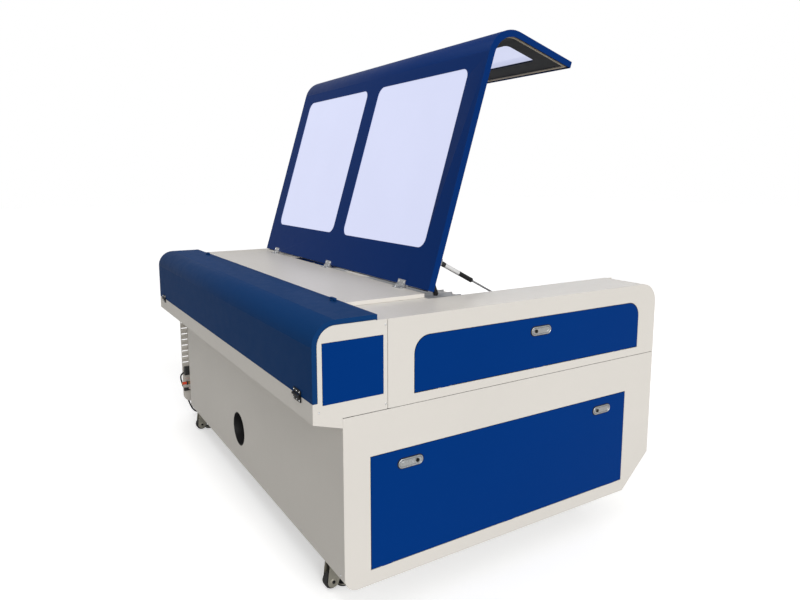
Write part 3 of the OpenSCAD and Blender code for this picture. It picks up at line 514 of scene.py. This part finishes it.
def make_plugs():
    """Right-angled inlet plug and the mains plug on the far end, both with moulded strain reliefs."""
    bm = bmesh.new()
    prism(bm, rounded(0.039, 0.054, 0.009), facing((0.945, 0.6495, 0.3245), (0, 1, 0)), 0.012)
    prism(bm, rounded(0.036, 0.050, 0.012), facing((0.945, 0.6605, 0.3245), (0, 1, 0)), 0.037)
    for i in range(5):
        block(bm, (0.926, 0.666 + i * 0.0055, 0.310), (0.964, 0.6685 + i * 0.0055, 0.339))
    relief(bm, (0.960, 0.6885, 0.3075), (0.974, 0.034, -0.225), 0.033, 0.0075, 0.0049)
    inlet_plug = finished("inlet_plug", bm, "cabinet", "black_plastic", 0.0012)
    bm = bmesh.new()
    far_y = COIL_AT.y - COIL_OUTER
    prism(bm, rounded(0.036, 0.0245, 0.010), facing((COIL_AT.x - 0.112, far_y, 0.0135), (1, 0, 0)), 0.034)
    prism(bm, rounded(0.028, 0.021, 0.009), facing((COIL_AT.x - 0.080, far_y, 0.0135), (1, 0, 0)), 0.024)
    relief(bm, (COIL_AT.x - 0.058, far_y, COIL_HIGH), (1, 0, 0), 0.024, 0.0072, 0.0049)
    mains_plug = finished("mains_plug", bm, "cabinet", "black_plastic", 0.0012)
    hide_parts("cord_plugs")
    return inlet_plug, mains_plug


cord = make_cord()
plugs = make_plugs()

# ---------------------------------------------------------------- doors and their latches

LATCH_L, LATCH_H, HOLE_L, HOLE_H = 0.095, 0.030, 0.089, 0.0234
LATCHES = (("lower_rear", "lower", 0.438, 0.496, -1), ("lower_front", "lower", -0.481, 0.496, 1),
           ("upper", "upper", -0.134, 0.868, 1))


def make_latches():
    for side, sign in SIDES:
        for name, door, y, z, button in LATCHES:
            out = (sign, 0, 0)
            leaf = f"{side}_{door}_door_leaf"
            # Near-black ring around the bezel: painted shadow at the bezel's edge on the door.
            bm = bmesh.new()
            band(bm, rounded(LATCH_L + 0.008, LATCH_H + 0.008, 0.0189),
                rounded(LATCH_L - 0.002, LATCH_H - 0.002, 0.0139),
                 facing((sign * (HALF_W + 0.0001), y, z), out), 0.0016)
            finished(f"{side}_{name}_painted_shadow_ring", bm, leaf, "shadow_black", 0.0006)
            bm = bmesh.new()
            band(bm, rounded(LATCH_L + 0.002, LATCH_H + 0.002, 0.0159), rounded(HOLE_L, HOLE_H, 0.0116),
                 facing((sign * (HALF_W + 0.0014), y, z), out), 0.0026)
            finished(f"{side}_{name}_bezel", bm, leaf, "zinc", 0.0008)
            bm = bmesh.new()
            key = (sign * (HALF_W + 0.0050), y + button * 0.026, z)
            lathe(bm, key, out, [(0, 0), (0, 0.0068), (0.0008, 0.0068), (0.0012, 0.0062), (0.0012, 0.0049),
                                 (0.0003, 0.0047), (0.0003, 0)], 28)
            block(bm, (-0.0007, -0.0032, 0.0002), (0.0007, 0.0032, 0.0009), facing(key, out))
            finished(f"{side}_{name}_lock", bm, f"{side}_{name}_handle", "black_metal", 0.0002)
            bm = bmesh.new()
            grip = facing((sign * (HALF_W + 0.0024), y - button * 0.012, z), out)
            band(bm, rounded(0.046, 0.0135, 0.0067), rounded(0.0435, 0.0110, 0.0054), grip, 0.0012)
            finished(f"{side}_{name}_grip_line", bm, f"{side}_{name}_handle", "zinc", 0.0003)


make_latches()

# ---------------------------------------------------------------- hinges

COVER_Z = 0.757
HINGE_X = (0.910, 0.966)


def make_cover_hinges():
    for side, sign in SIDES:
        middle = sign * (HINGE_X[0] + HINGE_X[1]) / 2
        width = HINGE_X[1] - HINGE_X[0]
        for name, body, z0, z1 in (("moving", "cover", COVER_Z + 0.0055, COVER_Z + 0.0192),
                                   ("fixed", "cabinet", COVER_Z - 0.0192, COVER_Z - 0.0060)):
            bm = bmesh.new()
            prism(bm, rounded(width + 0.0008, z1 - z0, 0.0025),
                facing((middle, REAR_Y + 0.0001, (z0 + z1) / 2), (0, 1, 0)), 0.0034)
            knuckle = (-0.0150, 0.0150) if name == "moving" else (0.0160, width / 2)
            for start, stop in ((knuckle,) if name == "moving" else (knuckle, (-knuckle[1], -knuckle[0]))):
                lathe(bm, (middle + start, REAR_Y + 0.005, COVER_Z), (1, 0, 0),
                      [(0, 0.0026), (0, 0.0047), (stop - start, 0.0047), (stop - start, 0.0026),
                          (0, 0.0026)], 24)
            finished(f"{side}_cover_hinge_{name}", bm, body, "black_metal", 0.0006)
            bm = bmesh.new()
            for dx in (-0.0215, 0.0, 0.0215):
                screw(bm, (middle + dx, REAR_Y + 0.0034,
                    (z0 + z1) / 2 + (0.001 if name == "moving" else -0.001)), (0, 1, 0), 0.0026)
            finished(f"{side}_cover_hinge_{name}_screws", bm, body, "zinc", 0.0002)


make_cover_hinges()

lid_joint = JOINTS["lid_hinge"]
LID_OPEN = math.radians(lid_joint["range_deg"][1])
LID = Matrix.Translation(Vector(lid_joint["pos_m"])) @ Matrix.Rotation(-LID_OPEN, 4, "X")
LID_L, FLAP_L = 1.040, 0.408
LID_HINGES = (-0.650, 0.010, 0.670)


def lid_place(x, y, z, axis=(0, 0, 1)):
    return LID @ facing((x, y, z), axis)


def make_lid_fittings():
    steel, dark = bmesh.new(), bmesh.new()
    for x in LID_HINGES:
        for dx in (-0.019, 0.019):
            screw(steel, LID @ Vector((x + dx, -0.0150, 0.0030)), LID.to_3x3() @ Vector((0, 0, 1)), 0.0040,
                0.0024)
    finished("lid_hinge_screws", steel, "lid", "zinc", 0.0002)
    steel = bmesh.new()
    for x in LID_HINGES:
        for dx in (-0.022, 0.022):
            screw(steel, (x + dx, 0.240, 1.0059), (0, 0, 1), 0.0040, 0.0024)
    finished("slab_hinge_screws", steel, "cabinet", "zinc", 0.0002)
    # Handle end collars on the flap and its grooved grip
    bm = bmesh.new()
    for x in (-0.090, 0.090):
        lathe(bm, LID @ Vector((x, -LID_L - 0.0002, -FLAP_L + 0.050)), LID.to_3x3() @ Vector((0, -1, 0)),
              [(0, 0), (0, 0.012), (0.002, 0.012), (0.004, 0.009), (0.004, 0.0062)], 28)
    finished("lid_handle_collars", bm, "lid", "zinc", 0.0004)
    # Rubber bumpers and small spacer blocks under the lid's lower edge
    bm = bmesh.new()
    for x in (-0.79, -0.43, -0.22, 0.22, 0.44, 0.79):
        block(bm, (x - 0.012, -0.0060, -0.020), (x + 0.012, -0.0025, -0.006), LID)
    finished("lid_edge_blocks", bm, "lid", "zinc", 0.0006)
    bm = bmesh.new()
    for a, b in ((-0.812, -0.690), (-0.612, -0.030), (0.050, 0.630), (0.710, 0.812)):
        block(bm, (a, 0.2275, 0.9893), (b, 0.2300, 1.0030))
        tube(bm, [(a, 0.2262, 1.0010), (b, 0.2262, 1.0010)], 0.0016, 10)
    finished("slab_edge_seal", bm, "cabinet", "belt_rubber", 0.0004)
    # Painted stop arms at the corners and the rubber strip between the hinges
    bm = bmesh.new()
    arm = [(-0.050, -0.0227), (-0.033, -0.0227), (-0.028, -0.030), (0.006, -0.052), (0.004, -0.066),
           (-0.006, -0.068), (-0.048, -0.036)]
    for sign in (-1, 1):
        at = LID @ facing((sign * 0.8061, 0, 0), (sign, 0, 0))
        prism(bm, [(sign * u, v) for u, v in arm], at, 0.0010)
        lathe(bm, LID @ Vector((sign * 0.8071, -0.010, -0.052)), (sign, 0, 0),
            [(0, 0), (0, 0.0050), (0.003, 0.0050), (0.004, 0.0040), (0.004, 0)], 24)
    finished("lid_stop_arms", bm, "lid", "black_metal", 0.0003)
    bm = bmesh.new()
    for a, b in ((-0.805, -0.690), (-0.610, -0.030), (0.050, 0.630), (0.710, 0.805)):
        block(bm, (a, -0.0052, -0.0215), (b, -0.0020, -0.0045), LID)
    finished("lid_edge_strip", bm, "lid", "belt_rubber", 0.0004)
    # Window clamping frames inside the lid
    for i, (x0, x1) in enumerate(((-0.734, -0.054), (0.054, 0.734))):
        bm = bmesh.new()
        y0, y1 = -0.868, -0.158
        middle = lid_place((x0 + x1) / 2, (y0 + y1) / 2, -0.0072, (0, 0, -1))
        band(bm, rounded(x1 - x0 + 0.026, y1 - y0 + 0.026, 0.046),
            rounded(x1 - x0 - 0.001, y1 - y0 - 0.001, 0.040), middle, 0.0022)
        finished(f"window_clamp_{i}", bm, "lid", "liner_black", 0.0005)


make_lid_fittings()

strut_slide = JOINTS["left_strut_slide"]
STRUT_AXIS = Vector(strut_slide["axis"]).normalized()
STRUT_EYE = Vector(JOINTS["left_strut_pivot"]["pos_m"])
STRUT_X = abs(STRUT_EYE.x)


def make_struts():
    for side, sign in SIDES:
        eye = Vector((sign * STRUT_X, STRUT_EYE.y, STRUT_EYE.z))
        barrel = f"{side}_strut_barrel"
        bm = bmesh.new()
        lathe(bm, eye + STRUT_AXIS * 0.013, STRUT_AXIS,
            [(0, 0), (0, 0.0070), (0.002, 0.0096), (0.016, 0.0096), (0.018, 0.0092), (0.018, 0.0088)], 28)
        lathe(bm, eye + STRUT_AXIS * 0.171, STRUT_AXIS,
            [(0, 0.0088), (0, 0.0094), (0.006, 0.0094), (0.0085, 0.0075), (0.0085, 0.0042)], 28)
        finished(f"{side}_strut_ends", bm, barrel, "black_plastic", 0.0003)
        bm = bmesh.new()
        lathe(bm, eye + STRUT_AXIS * 0.032, STRUT_AXIS,
            [(0, 0.0089), (0.0002, 0.00925), (0.0738, 0.00925), (0.074, 0.0089)], 28)
        finished(f"{side}_strut_label", bm, barrel, "label_silver")
        bm = bmesh.new()
        stud = eye + STRUT_AXIS * 0.3412
        lathe(bm, stud + Vector((-0.0072, 0, 0)), (1, 0, 0),
            [(0, 0), (0, 0.0052), (0.0012, 0.0060), (0.0132, 0.0060), (0.0144, 0.0052), (0.0144, 0)], 24)
        lathe(bm, stud - STRUT_AXIS * 0.028, STRUT_AXIS,
            [(0, 0.0041), (0, 0.0056), (0.010, 0.0062), (0.012, 0.0050)], 20)
        finished(f"{side}_strut_socket", bm, f"{side}_strut_piston", "black_plastic", 0.0003)
        bm = bmesh.new()
        lathe(bm, eye + Vector((-0.0085, 0, 0)), (1, 0, 0),
            [(0, 0), (0, 0.0045), (0.0008, 0.0052), (0.0016, 0.0052), (0.0016, 0.0036)], 24)
        lathe(bm, eye + Vector((0.0069, 0, 0)), (1, 0, 0),
            [(0, 0.0036), (0, 0.0052), (0.0008, 0.0052), (0.0016, 0.0045), (0.0016, 0)], 24)
        finished(f"{side}_strut_clips", bm, barrel, "zinc", 0.0002)


make_struts()

# ---------------------------------------------------------------- rear panel, recess and side vents

RECESS_Y = 0.644
VENT_Z, VENT_PITCH, VENT_H, VENT_ROWS = 0.345, 0.034, 0.020, 9
HOOD_OUT = 0.007


def make_vent_hoods():
    bm = bmesh.new()
    y0, y1, steps, skin = RECESS_Y + 0.002, CABINET_Y - 0.003, 6, 0.0009
    for row in range(VENT_ROWS):
        bottom = VENT_Z + row * VENT_PITCH - 0.001
        top = bottom + VENT_H + 0.003
        rows = []
        for lift in (0.0, skin):
            line = []
            for i in range(steps + 1):
                t = i / steps
                x = HALF_W + (HOOD_OUT - skin) * math.sin(t * math.pi / 2) + lift
                line.append((x, top + lift - (top - bottom - 0.004) * t))
            rows.append(line)
        outline = rows[0] + rows[1][::-1]
        low = [bm.verts.new((x, y0, z)) for x, z in outline]
        high = [bm.verts.new((x, y1, z)) for x, z in outline]
        bm.faces.new(low)
        bm.faces.new(high[::-1])
        for i in range(len(outline)):
            j = (i + 1) % len(outline)
            bm.faces.new((low[i], low[j], high[j], high[i]))
        for y in (y0, y1 - skin):
            cheek = [(HALF_W, top)] + [(x, z) for x, z in rows[0]] + [(HALF_W, bottom + 0.004)]
            near = [bm.verts.new((x, y, z)) for x, z in cheek[1:]]
            far = [bm.verts.new((x, y + skin, z)) for x, z in cheek[1:]]
            bm.faces.new(near)
            bm.faces.new(far[::-1])
            for i in range(len(near)):
                j = (i + 1) % len(near)
                bm.faces.new((near[i], near[j], far[j], far[i]))
    finished("side_vent_hoods", bm, "cabinet", "white_paint", 0.0)


make_vent_hoods()


def make_rear_fittings():
    back = (0, 1, 0)
    bm = bmesh.new()
    for x, z, r, depth in ((0.950, 0.250, 0.0098, 0.012), (0.985, 0.266, 0.0070, 0.007),
        (0.935, 0.222, 0.0086, 0.008)):
        lathe(bm, (x, RECESS_Y + 0.0002, z), back,
            [(0, 0), (0, r * 1.25), (depth * 0.3, r * 1.25), (depth * 0.3, r)], 6)
        lathe(bm, (x, RECESS_Y + depth * 0.3, z), back,
            [(0, r * 0.9), (depth, r * 0.9), (depth + 0.001, r * 0.8), (depth + 0.001, 0)], 28)
    finished("fitting_nuts", bm, "cabinet", "brass", 0.0004)
    bm = bmesh.new()
    lathe(bm, (0.950, RECESS_Y + 0.0365, 0.250), back,
        [(0, 0.0070), (0, 0.0108), (0.001, 0.0116), (0.007, 0.0116), (0.008, 0.0108), (0.008, 0.0070)], 32)
    for x, z, r, start, stop in ((0.985, 0.202, 0.0125, 0.0002, 0.018),
        (0.985, 0.202, 0.0098, 0.018, 0.0505)):
        ribs = [(start + (stop - start) * k / 12, r - (0.0006 if k % 2 else 0.0)) for k in range(13)]
        lathe(bm, (x, RECESS_Y, z), back, [(start, 0)] + ribs + [(stop, 0)], 32)
    finished("black_gland", bm, "cabinet", "black_plastic", 0.0003)
    bm = bmesh.new()
    tube(bm, [(0.950, RECESS_Y + 0.044 + 0.004 * k, 0.250) for k in range(7)], 0.0080, 20)
    finished("red_hose_stub", bm, "cabinet", "red_hose", 0.0006)
    bm = bmesh.new()
    tube(bm, [(0.985, RECESS_Y + 0.010 + 0.004 * k, 0.266) for k in range(9)], 0.0058, 18)
    tube(bm, [(0.935, RECESS_Y + 0.012 + 0.004 * k, 0.222) for k in range(7)], 0.0066, 18)
    finished("clear_hose_stubs", bm, "cabinet", "hose_pale", 0.0005)
    bm = bmesh.new()
    band(bm, rounded(0.056, 0.066, 0.004), rounded(0.0375, 0.0525, 0.008),
        facing((0.945, RECESS_Y + 0.0003, 0.324), back), 0.0056)
    finished("inlet_surround", bm, "cabinet", "black_plastic", 0.0008)
    bm = bmesh.new()
    for z in (0.2955 - 0.0005, 0.3525):
        screw(bm, (0.945, RECESS_Y + 0.0056, z), back, 0.0022, 0.0014)
    finished("inlet_screws", bm, "cabinet", "zinc", 0.0001)
    # Wire guard inside the exhaust
    duct_r = 0.0725
    bm = bmesh.new()
    for k in range(1, 4):
        r = duct_r * k / 4
        points = [(r * math.cos(a), CABINET_Y - 0.050,
            0.300 + r * math.sin(a)) for a in (2 * math.pi * i / 40 for i in range(41))]
        tube(bm, points, 0.0011, 8)
    for k in range(4):
        a = math.pi * k / 4
        dx, dz = duct_r * math.cos(a), duct_r * math.sin(a)
        tube(bm, [(-dx, CABINET_Y - 0.0515, 0.300 - dz), (dx, CABINET_Y - 0.0515, 0.300 + dz)], 0.0013, 8)
    finished("exhaust_guard", bm, "cabinet", "black_metal")


make_rear_fittings()


def make_panel_screws():
    bm = bmesh.new()
    for side, sign in SIDES:
        out = (sign, 0, 0)
        for y, z in ((0.5325, 0.712), (0.5325, 0.972), (0.7655, 0.728)):
            screw(bm, (sign * HALF_W, y, z), out, 0.0030, 0.0016)
    for x in (-1.02, -0.70, -0.35, 0.0, 0.35, 0.70, 0.85):
        screw(bm, (x, CABINET_Y, 0.155), (0, 1, 0), 0.0032, 0.0016)
    for x in (-0.795, -0.4, 0.0, 0.4, 0.795):
        screw(bm, (x, 0.542, 1.0040), (0, 0, 1), 0.0036, 0.0016)
    finished("panel_screws", bm, "cabinet", "zinc", 0.0002)


make_panel_screws()

# ---------------------------------------------------------------- casters

CASTERS = tuple((f"{end}_{side}", sign * 0.850, y) for end,
    y in (("rear", 0.618), ("front", -0.560)) for side, sign in SIDES)
WHEEL_Y, WHEEL_Z, FOOT_Y, PLATE_Z = 0.022, 0.030, -0.024, 0.1295
CASTER_ARM = [(-0.006, 0.040), (-0.014, 0.054), (-0.040, 0.060), (-0.041, 0.078), (-0.034, 0.1280)]


def make_casters():
    for name, x, y in CASTERS:
        fork, wheel = f"{name}_swivel", f"{name}_roller"
        hub = Vector((x, y + WHEEL_Y, WHEEL_Z))
        # Wheel: moulded tyre with a rounded tread and a recessed hub with spokes
        bm = bmesh.new()
        lathe(bm, hub - Vector((0.0128, 0, 0)), (1, 0, 0),
              [(0.004, 0.0045), (0.004, 0.0185), (0.0006, 0.0195), (0.0, 0.0215), (0.0006, 0.0252),
                  (0.0030, 0.0278), (0.0070, 0.0290),
               (0.0186, 0.0290), (0.0226, 0.0278), (0.0250, 0.0252), (0.0256, 0.0215), (0.0250,
                   0.0195), (0.0216, 0.0185), (0.0216, 0.0045)], 48)
        for k in range(6):
            a = math.pi * k / 3
            arm = Matrix.Translation(hub) @ Matrix.Rotation(a, 4, "X")
            block(bm, (-0.0122, -0.0014, 0.0042), (0.0122, 0.0014, 0.0190), arm)
        finished(f"{name}_tyre", bm, wheel, "wheel_nylon", 0.0)
        # Fork: ribbed casting, bearing cap, axle nuts
        bm = bmesh.new()
        lobe = [(WHEEL_Y + 0.0215 * math.cos(a), WHEEL_Z + 0.0215 * math.sin(a))
                for a in (math.radians(18 - 12 * i) for i in range(17))]
        plate = [(0.034, 0.1280), (0.036, 0.090), (0.040, 0.060)] + lobe + CASTER_ARM
        for sign in (-1, 1):
            out = (sign, 0, 0)
            cheek = Vector((x + sign * 0.0190, y, 0))
            prism(bm, [(sign * u, v) for u, v in plate], facing(cheek, out), 0.0014)
            lathe(bm, cheek + Vector((0, WHEEL_Y, WHEEL_Z)), out,
                [(-0.001, 0), (-0.001, 0.0125), (0.0020, 0.0125), (0.0028, 0.0112), (0.0028, 0)], 32)
            for (y0, z0), (y1, z1) in (((0.010, 0.044), (-0.020, 0.120)), ((0.034, 0.044), (0.026, 0.120))):
                a, b = cheek + Vector((0, y0, z0)), cheek + Vector((0, y1, z1))
                tube(bm, [a, (a + b) / 2, b], 0.0024, 10)
            block(bm, (min(x + sign * 0.0140, x + sign * 0.0195), y - 0.034, 0.112),
                (max(x + sign * 0.0140, x + sign * 0.0195), y + 0.034, 0.1290))
        lathe(bm, (x, y, PLATE_Z - 0.0065), (0, 0, 1),
            [(0, 0.012), (0, 0.0300), (0.0015, 0.0325), (0.0055, 0.0325), (0.0065, 0.0315),
            (0.0065, 0.012)], 40)
        lathe(bm, (x, y + FOOT_Y, 0.066), (0, 0, 1),
            [(0, 0.0055), (0, 0.0140), (0.003, 0.0155), (0.010, 0.0155), (0.014, 0.0140), (0.014, 0.0055)],
            32)
        finished(f"{name}_casting", bm, fork, "caster_grey", 0.0006)
        bm = bmesh.new()
        for sign in (-1, 1):
            hex_head(bm, hub + Vector((sign * 0.0216, 0, 0)), (sign, 0, 0), 0.0052, 0.0042)
            hex_head(bm, (x + sign * 0.0204, y - 0.004, 0.116), (sign, 0, 0), 0.0040, 0.0032)
        for k in range(14):
            z = 0.0100 + 0.0040 * k
            if not 0.032 < z < 0.042:
                lathe(bm, (x, y + FOOT_Y, z), (0, 0, 1),
                    [(0, 0.0049), (0.0010, 0.0056), (0.0020, 0.0056), (0.0030, 0.0049)], 20)
        finished(f"{name}_bolts", bm, fork, "black_metal", 0.0002)
        bm = bmesh.new()
        knurl = [(r * math.cos(a), r * math.sin(a)) for a,
            r in ((math.pi * i / 22, 0.0145 if i % 2 else 0.0132) for i in range(44))]
        prism(bm, knurl, Matrix.Translation((x, y + FOOT_Y, 0.0332)), 0.0076)
        lathe(bm, (x, y + FOOT_Y, 0.0), (0, 0, 1),
            [(0, 0), (0, 0.0218), (0.0015, 0.0226), (0.0055, 0.0226), (0.0082, 0.0190), (0.0092, 0.0080),
            (0.0130, 0.0072), (0.0130, 0)], 36)
        finished(f"{name}_foot", bm, fork, "black_plastic", 0.0004)


make_casters()

# ---------------------------------------------------------------- motion system

RAIL_X, BEAM_Y = 0.930, 0.380
BEAM_FRONT = BEAM_Y - 0.030


def make_motion():
    # Toothed belts beside the side rails and along the beam
    bm = bmesh.new()
    for sign in (-1, 1):
        x = sign * (RAIL_X - 0.036)
        for z in (0.8595, 0.8715):
            block(bm, (x - 0.005, -0.735, z), (x + 0.005, 0.470, z + 0.0013))
        for k in range(0, 120):
            y = -0.730 + k * 0.010
            block(bm, (x - 0.0048, y, 0.8702), (x + 0.0048, y + 0.004, 0.8716))
    finished("side_belts", bm, "cabinet", "belt_rubber")
    bm = bmesh.new()
    for sign in (-1, 1):
        x = sign * (RAIL_X - 0.036)
        for y in (-0.735, 0.470):
            lathe(bm, (x - 0.0065, y, 0.8661), (1, 0, 0),
                [(0, 0.0022), (0, 0.0095), (0.001, 0.0095), (0.001, 0.0052), (0.012, 0.0052),
                (0.012, 0.0095), (0.013, 0.0095), (0.013, 0.0022)], 28)
            block(bm, (x - 0.012, y - 0.010, 0.8335), (x - 0.009, y + 0.010, 0.8760))
            block(bm, (x + 0.009, y - 0.010, 0.8335), (x + 0.012, y + 0.010, 0.8760))
            tube(bm, [(x - 0.013, y, 0.8661), (x + 0.013, y, 0.8661)], 0.0022, 12)
            block(bm, (x - 0.014, y - 0.010, 0.8335), (x + 0.014, y + 0.010, 0.8360))
    for sign in (-1, 1):
        for k in range(24):
            screw(bm, (sign * RAIL_X, -0.720 + k * 0.052, 0.8561), (0, 0, 1), 0.0030, 0.0010)
    finished("belt_pulleys", bm, "cabinet", "zinc", 0.0004)
    bm = bmesh.new()
    for z in (0.8775, 0.8895):
        block(bm, (-0.820, BEAM_FRONT - 0.0250, z),
            (0.870, BEAM_FRONT - 0.0240, z + 0.0001 + 0.009 * (z < 0.88)))
    finished("beam_belt", bm, "gantry", "belt_rubber")
    # Beam: end motor, and screws along the beam and on the end trucks
    bm = bmesh.new()
    block(bm, (0.842, BEAM_FRONT - 0.078, 0.8785), (0.898, BEAM_FRONT - 0.036, 0.9310))
    lathe(bm, (0.870, BEAM_FRONT - 0.036, 0.9035), (0, 1, 0),
        [(0, 0), (0, 0.019), (0.002, 0.019), (0.003, 0.011), (0.010, 0.011), (0.010, 0)], 32)
    for dx in (-0.0235, 0.0235):
        for z in (0.880, 0.927):
            screw(bm, (0.870 + dx, BEAM_FRONT - 0.078, z), (0, -1, 0), 0.0028, 0.0018)
    finished("beam_motor", bm, "gantry", "black_metal", 0.0016)
    bm = bmesh.new()
    for k in range(32):
        screw(bm, (-0.775 + k * 0.05, BEAM_FRONT - 0.0120, 0.905), (0, -1, 0), 0.0030, 0.0004)
    for sign in (-1, 1):
        for dy in (-0.032, 0.032):
            screw(bm, (sign * RAIL_X - 0.012, BEAM_Y + dy, 0.8700), (0, 0, 1), 0.0032)
            screw(bm, (sign * RAIL_X + 0.012, BEAM_Y + dy, 0.8700), (0, 0, 1), 0.0032)
    finished("beam_screws", bm, "gantry", "zinc", 0.0001)
    # Folded cable chain lying on the beam, in links
    bm = bmesh.new()
    for k in range(44):
        x = -0.060 - k * 0.0172
        block(bm, (x, BEAM_Y - 0.014, 0.9354), (x + 0.0148, BEAM_Y + 0.014, 0.9520))
        block(bm, (x + 0.0148, BEAM_Y - 0.011, 0.9374), (x + 0.0172, BEAM_Y + 0.011, 0.9500))
    finished("cable_chain", bm, "gantry", "black_plastic", 0.0012, segments=1)
    # Carriage: focusing ring, air hose fitting, mirror with its adjusting knobs
    bm = bmesh.new()
    lathe(bm, (0, BEAM_FRONT - 0.0845, 0.924), (0, -1, 0),
        [(0, 0), (0, 0.0125), (0.002, 0.0135), (0.006, 0.0135), (0.008, 0.0120), (0.008, 0)], 32)
    for dx, z in ((-0.018, 0.9185), (0.018, 0.9185), (0.0, 0.9305)):
        lathe(bm, (dx, BEAM_FRONT - 0.0845, z), (0, -1, 0),
            [(0, 0), (0, 0.0030), (0.0100, 0.0030), (0.0106, 0.0026), (0.0106, 0)], 18)
    finished("head_mirror", bm, "head", "brass", 0.0003)
    bm = bmesh.new()
    lathe(bm, (0.0262, BEAM_FRONT - 0.056, 0.870), (1, 0, 0),
        [(0, 0), (0, 0.0045), (0.004, 0.0045), (0.004, 0.0062), (0.013, 0.0062), (0.015, 0.0040),
        (0.015, 0)], 22)
    for dx in (-0.040, 0.040):
        for z in (0.883, 0.927):
            screw(bm, (dx, BEAM_FRONT - 0.028, z), (0, -1, 0), 0.0030)
    finished("head_screws", bm, "head", "zinc", 0.0002)
    bm = bmesh.new()
    y = BEAM_Y - 0.086
    for z in (0.8275, 0.8305, 0.8335):
        lathe(bm, (0, y, z), (0, 0, 1), [(0, 0.0176), (0.0004, 0.0186), (0.0014, 0.0186), (0.0018, 0.0176)],
            40)
    finished("lens_grip_rings", bm, "lens", "head_black")
    # Laser tube: end caps, coolant stubs and high-voltage lead
    bm = bmesh.new()
    for sign in (-1, 1):
        at = Vector((sign * 0.800, 0.650, 0.850))
        lathe(bm, at - Vector((sign * 0.004, 0, 0)), (sign, 0, 0),
            [(0, 0.0402), (0, 0.0408), (0.010, 0.0408), (0.014, 0.0370), (0.014, 0.0222)], 48)
        tube(bm, [at + Vector((-sign * 0.03, 0, 0.038)), at + Vector((-sign * 0.03, 0, 0.058)),
            at + Vector((-sign * 0.022, 0.010, 0.066)), at + Vector((-sign * 0.004, 0.022, 0.064))], 0.0048,
            14)
    finished("tube_ends", bm, "cabinet", "zinc", 0.0006)
    bm = bmesh.new()
    for x in (-0.560, 0.560):
        points = [(x, 0.650 + 0.0412 * math.cos(a),
            0.850 + 0.0412 * math.sin(a)) for a in (math.radians(t) for t in range(0, 181, 10))]
        for dx in (-0.012, 0.012):
            tube(bm, [(px + dx, py, pz) for px, py, pz in points], 0.0016, 8)
    finished("tube_straps", bm, "cabinet", "belt_rubber")
    # Power supply: vent ribs
    bm = bmesh.new()
    for x0, x1, top in ((-0.420, -0.120, 0.325), (0.150, 0.560, 0.265)):
        for k in range(int((x1 - x0 - 0.04) / 0.012)):
            block(bm, (x0 + 0.02 + k * 0.012, 0.350, top - 0.0004),
                (x0 + 0.026 + k * 0.012, 0.460, top + 0.0014))
    finished("supply_ribs", bm, "cabinet", "psu_metal", 0.0003, segments=1)


make_motion()

# ---------------------------------------------------------------- control panel

def make_controls():
    top = Matrix.Translation((0.950, -0.565, 0.0)) @ Matrix.Rotation(math.atan2(0.016, 0.250), 4, "X")
    z = 1.0055
    flat = Matrix.Translation((0, 0, z)) @ top
    bm = bmesh.new()
    band(bm, rounded(0.134, 0.104, 0.006), rounded(0.116, 0.086, 0.003),
        flat @ Matrix.Translation((0, 0.058, 0.0002)), 0.0022)
    finished("screen_frame", bm, "cabinet", "black_plastic", 0.0006)
    bm = bmesh.new()
    prism(bm, rounded(0.1165, 0.0865, 0.003), flat @ Matrix.Translation((0, 0.058, -0.0002)), 0.0012)
    finished("screen", bm, "cabinet", "screen_glass", 0.0002)
    bm = bmesh.new()
    for row in range(3):
        for column in range(5):
            place = flat @ Matrix.Translation((-0.052 + column * 0.026, -0.022 - row * 0.028, -0.0003))
            prism(bm, rounded(0.019, 0.019, 0.004), place, 0.0026)
    finished("panel_keys", bm, "cabinet", "key_grey", 0.0008)
    bm = bmesh.new()
    lathe(bm, (0.950, -0.380, SIDE_TOP), (0, 0, 1),
        [(0, 0.0172), (0, 0.0285), (0.0006, 0.0290), (0.0012, 0.0290), (0.0018, 0.0285), (0.0018, 0.0172)],
        44)
    finished("stop_ring", bm, "cabinet", "stop_yellow", 0.0)
    bm = bmesh.new()
    lathe(bm, (0.950, -0.380, SIDE_TOP + 0.0258), (0, 0, 1),
        [(0, 0.0196), (0.0008, 0.0186), (0.0014, 0.0160), (0.0017, 0.0)], 44)
    finished("stop_cap", bm, "stop_button", "stop_red", 0.0)


make_controls()

# ---------------------------------------------------------------- floor

floor_mesh = bpy.data.meshes.new("floor")
floor_mesh.from_pydata([(-30, -30, 0), (30, -30, 0), (30, 30, 0), (-30, 30, 0)], [], [(0, 1, 2, 3)])
floor = bpy.data.objects.new("floor", floor_mesh)
bpy.context.scene.collection.objects.link(floor)
floor_look = Look("floor", Roughness=0.7, Specular_IOR_Level=0.1)
seen_floor = floor_look.node("ShaderNodeLightPath").outputs["Is Camera Ray"]
pale = floor_look.colours(floor_look.noise(3.0), (0.90, 0.90, 0.90), (0.92, 0.92, 0.92))
tone = floor_look.node("ShaderNodeMix", data_type="RGBA")
tone.inputs["A"].default_value = (0.57, 0.57, 0.56, 1)
floor_look.link(pale, tone.inputs["B"])
floor_look.link(seen_floor, tone.inputs["Factor"])
floor_look.paint(tone.outputs["Result"], "Base Color")
glow = floor_look.node("ShaderNodeMath", operation="MULTIPLY")
glow.inputs[1].default_value = 0.42
floor_look.link(seen_floor, glow.inputs[0])
floor_look.paint(glow.outputs[0], "Emission Strength")
floor_mesh.materials.append(floor_look.material)
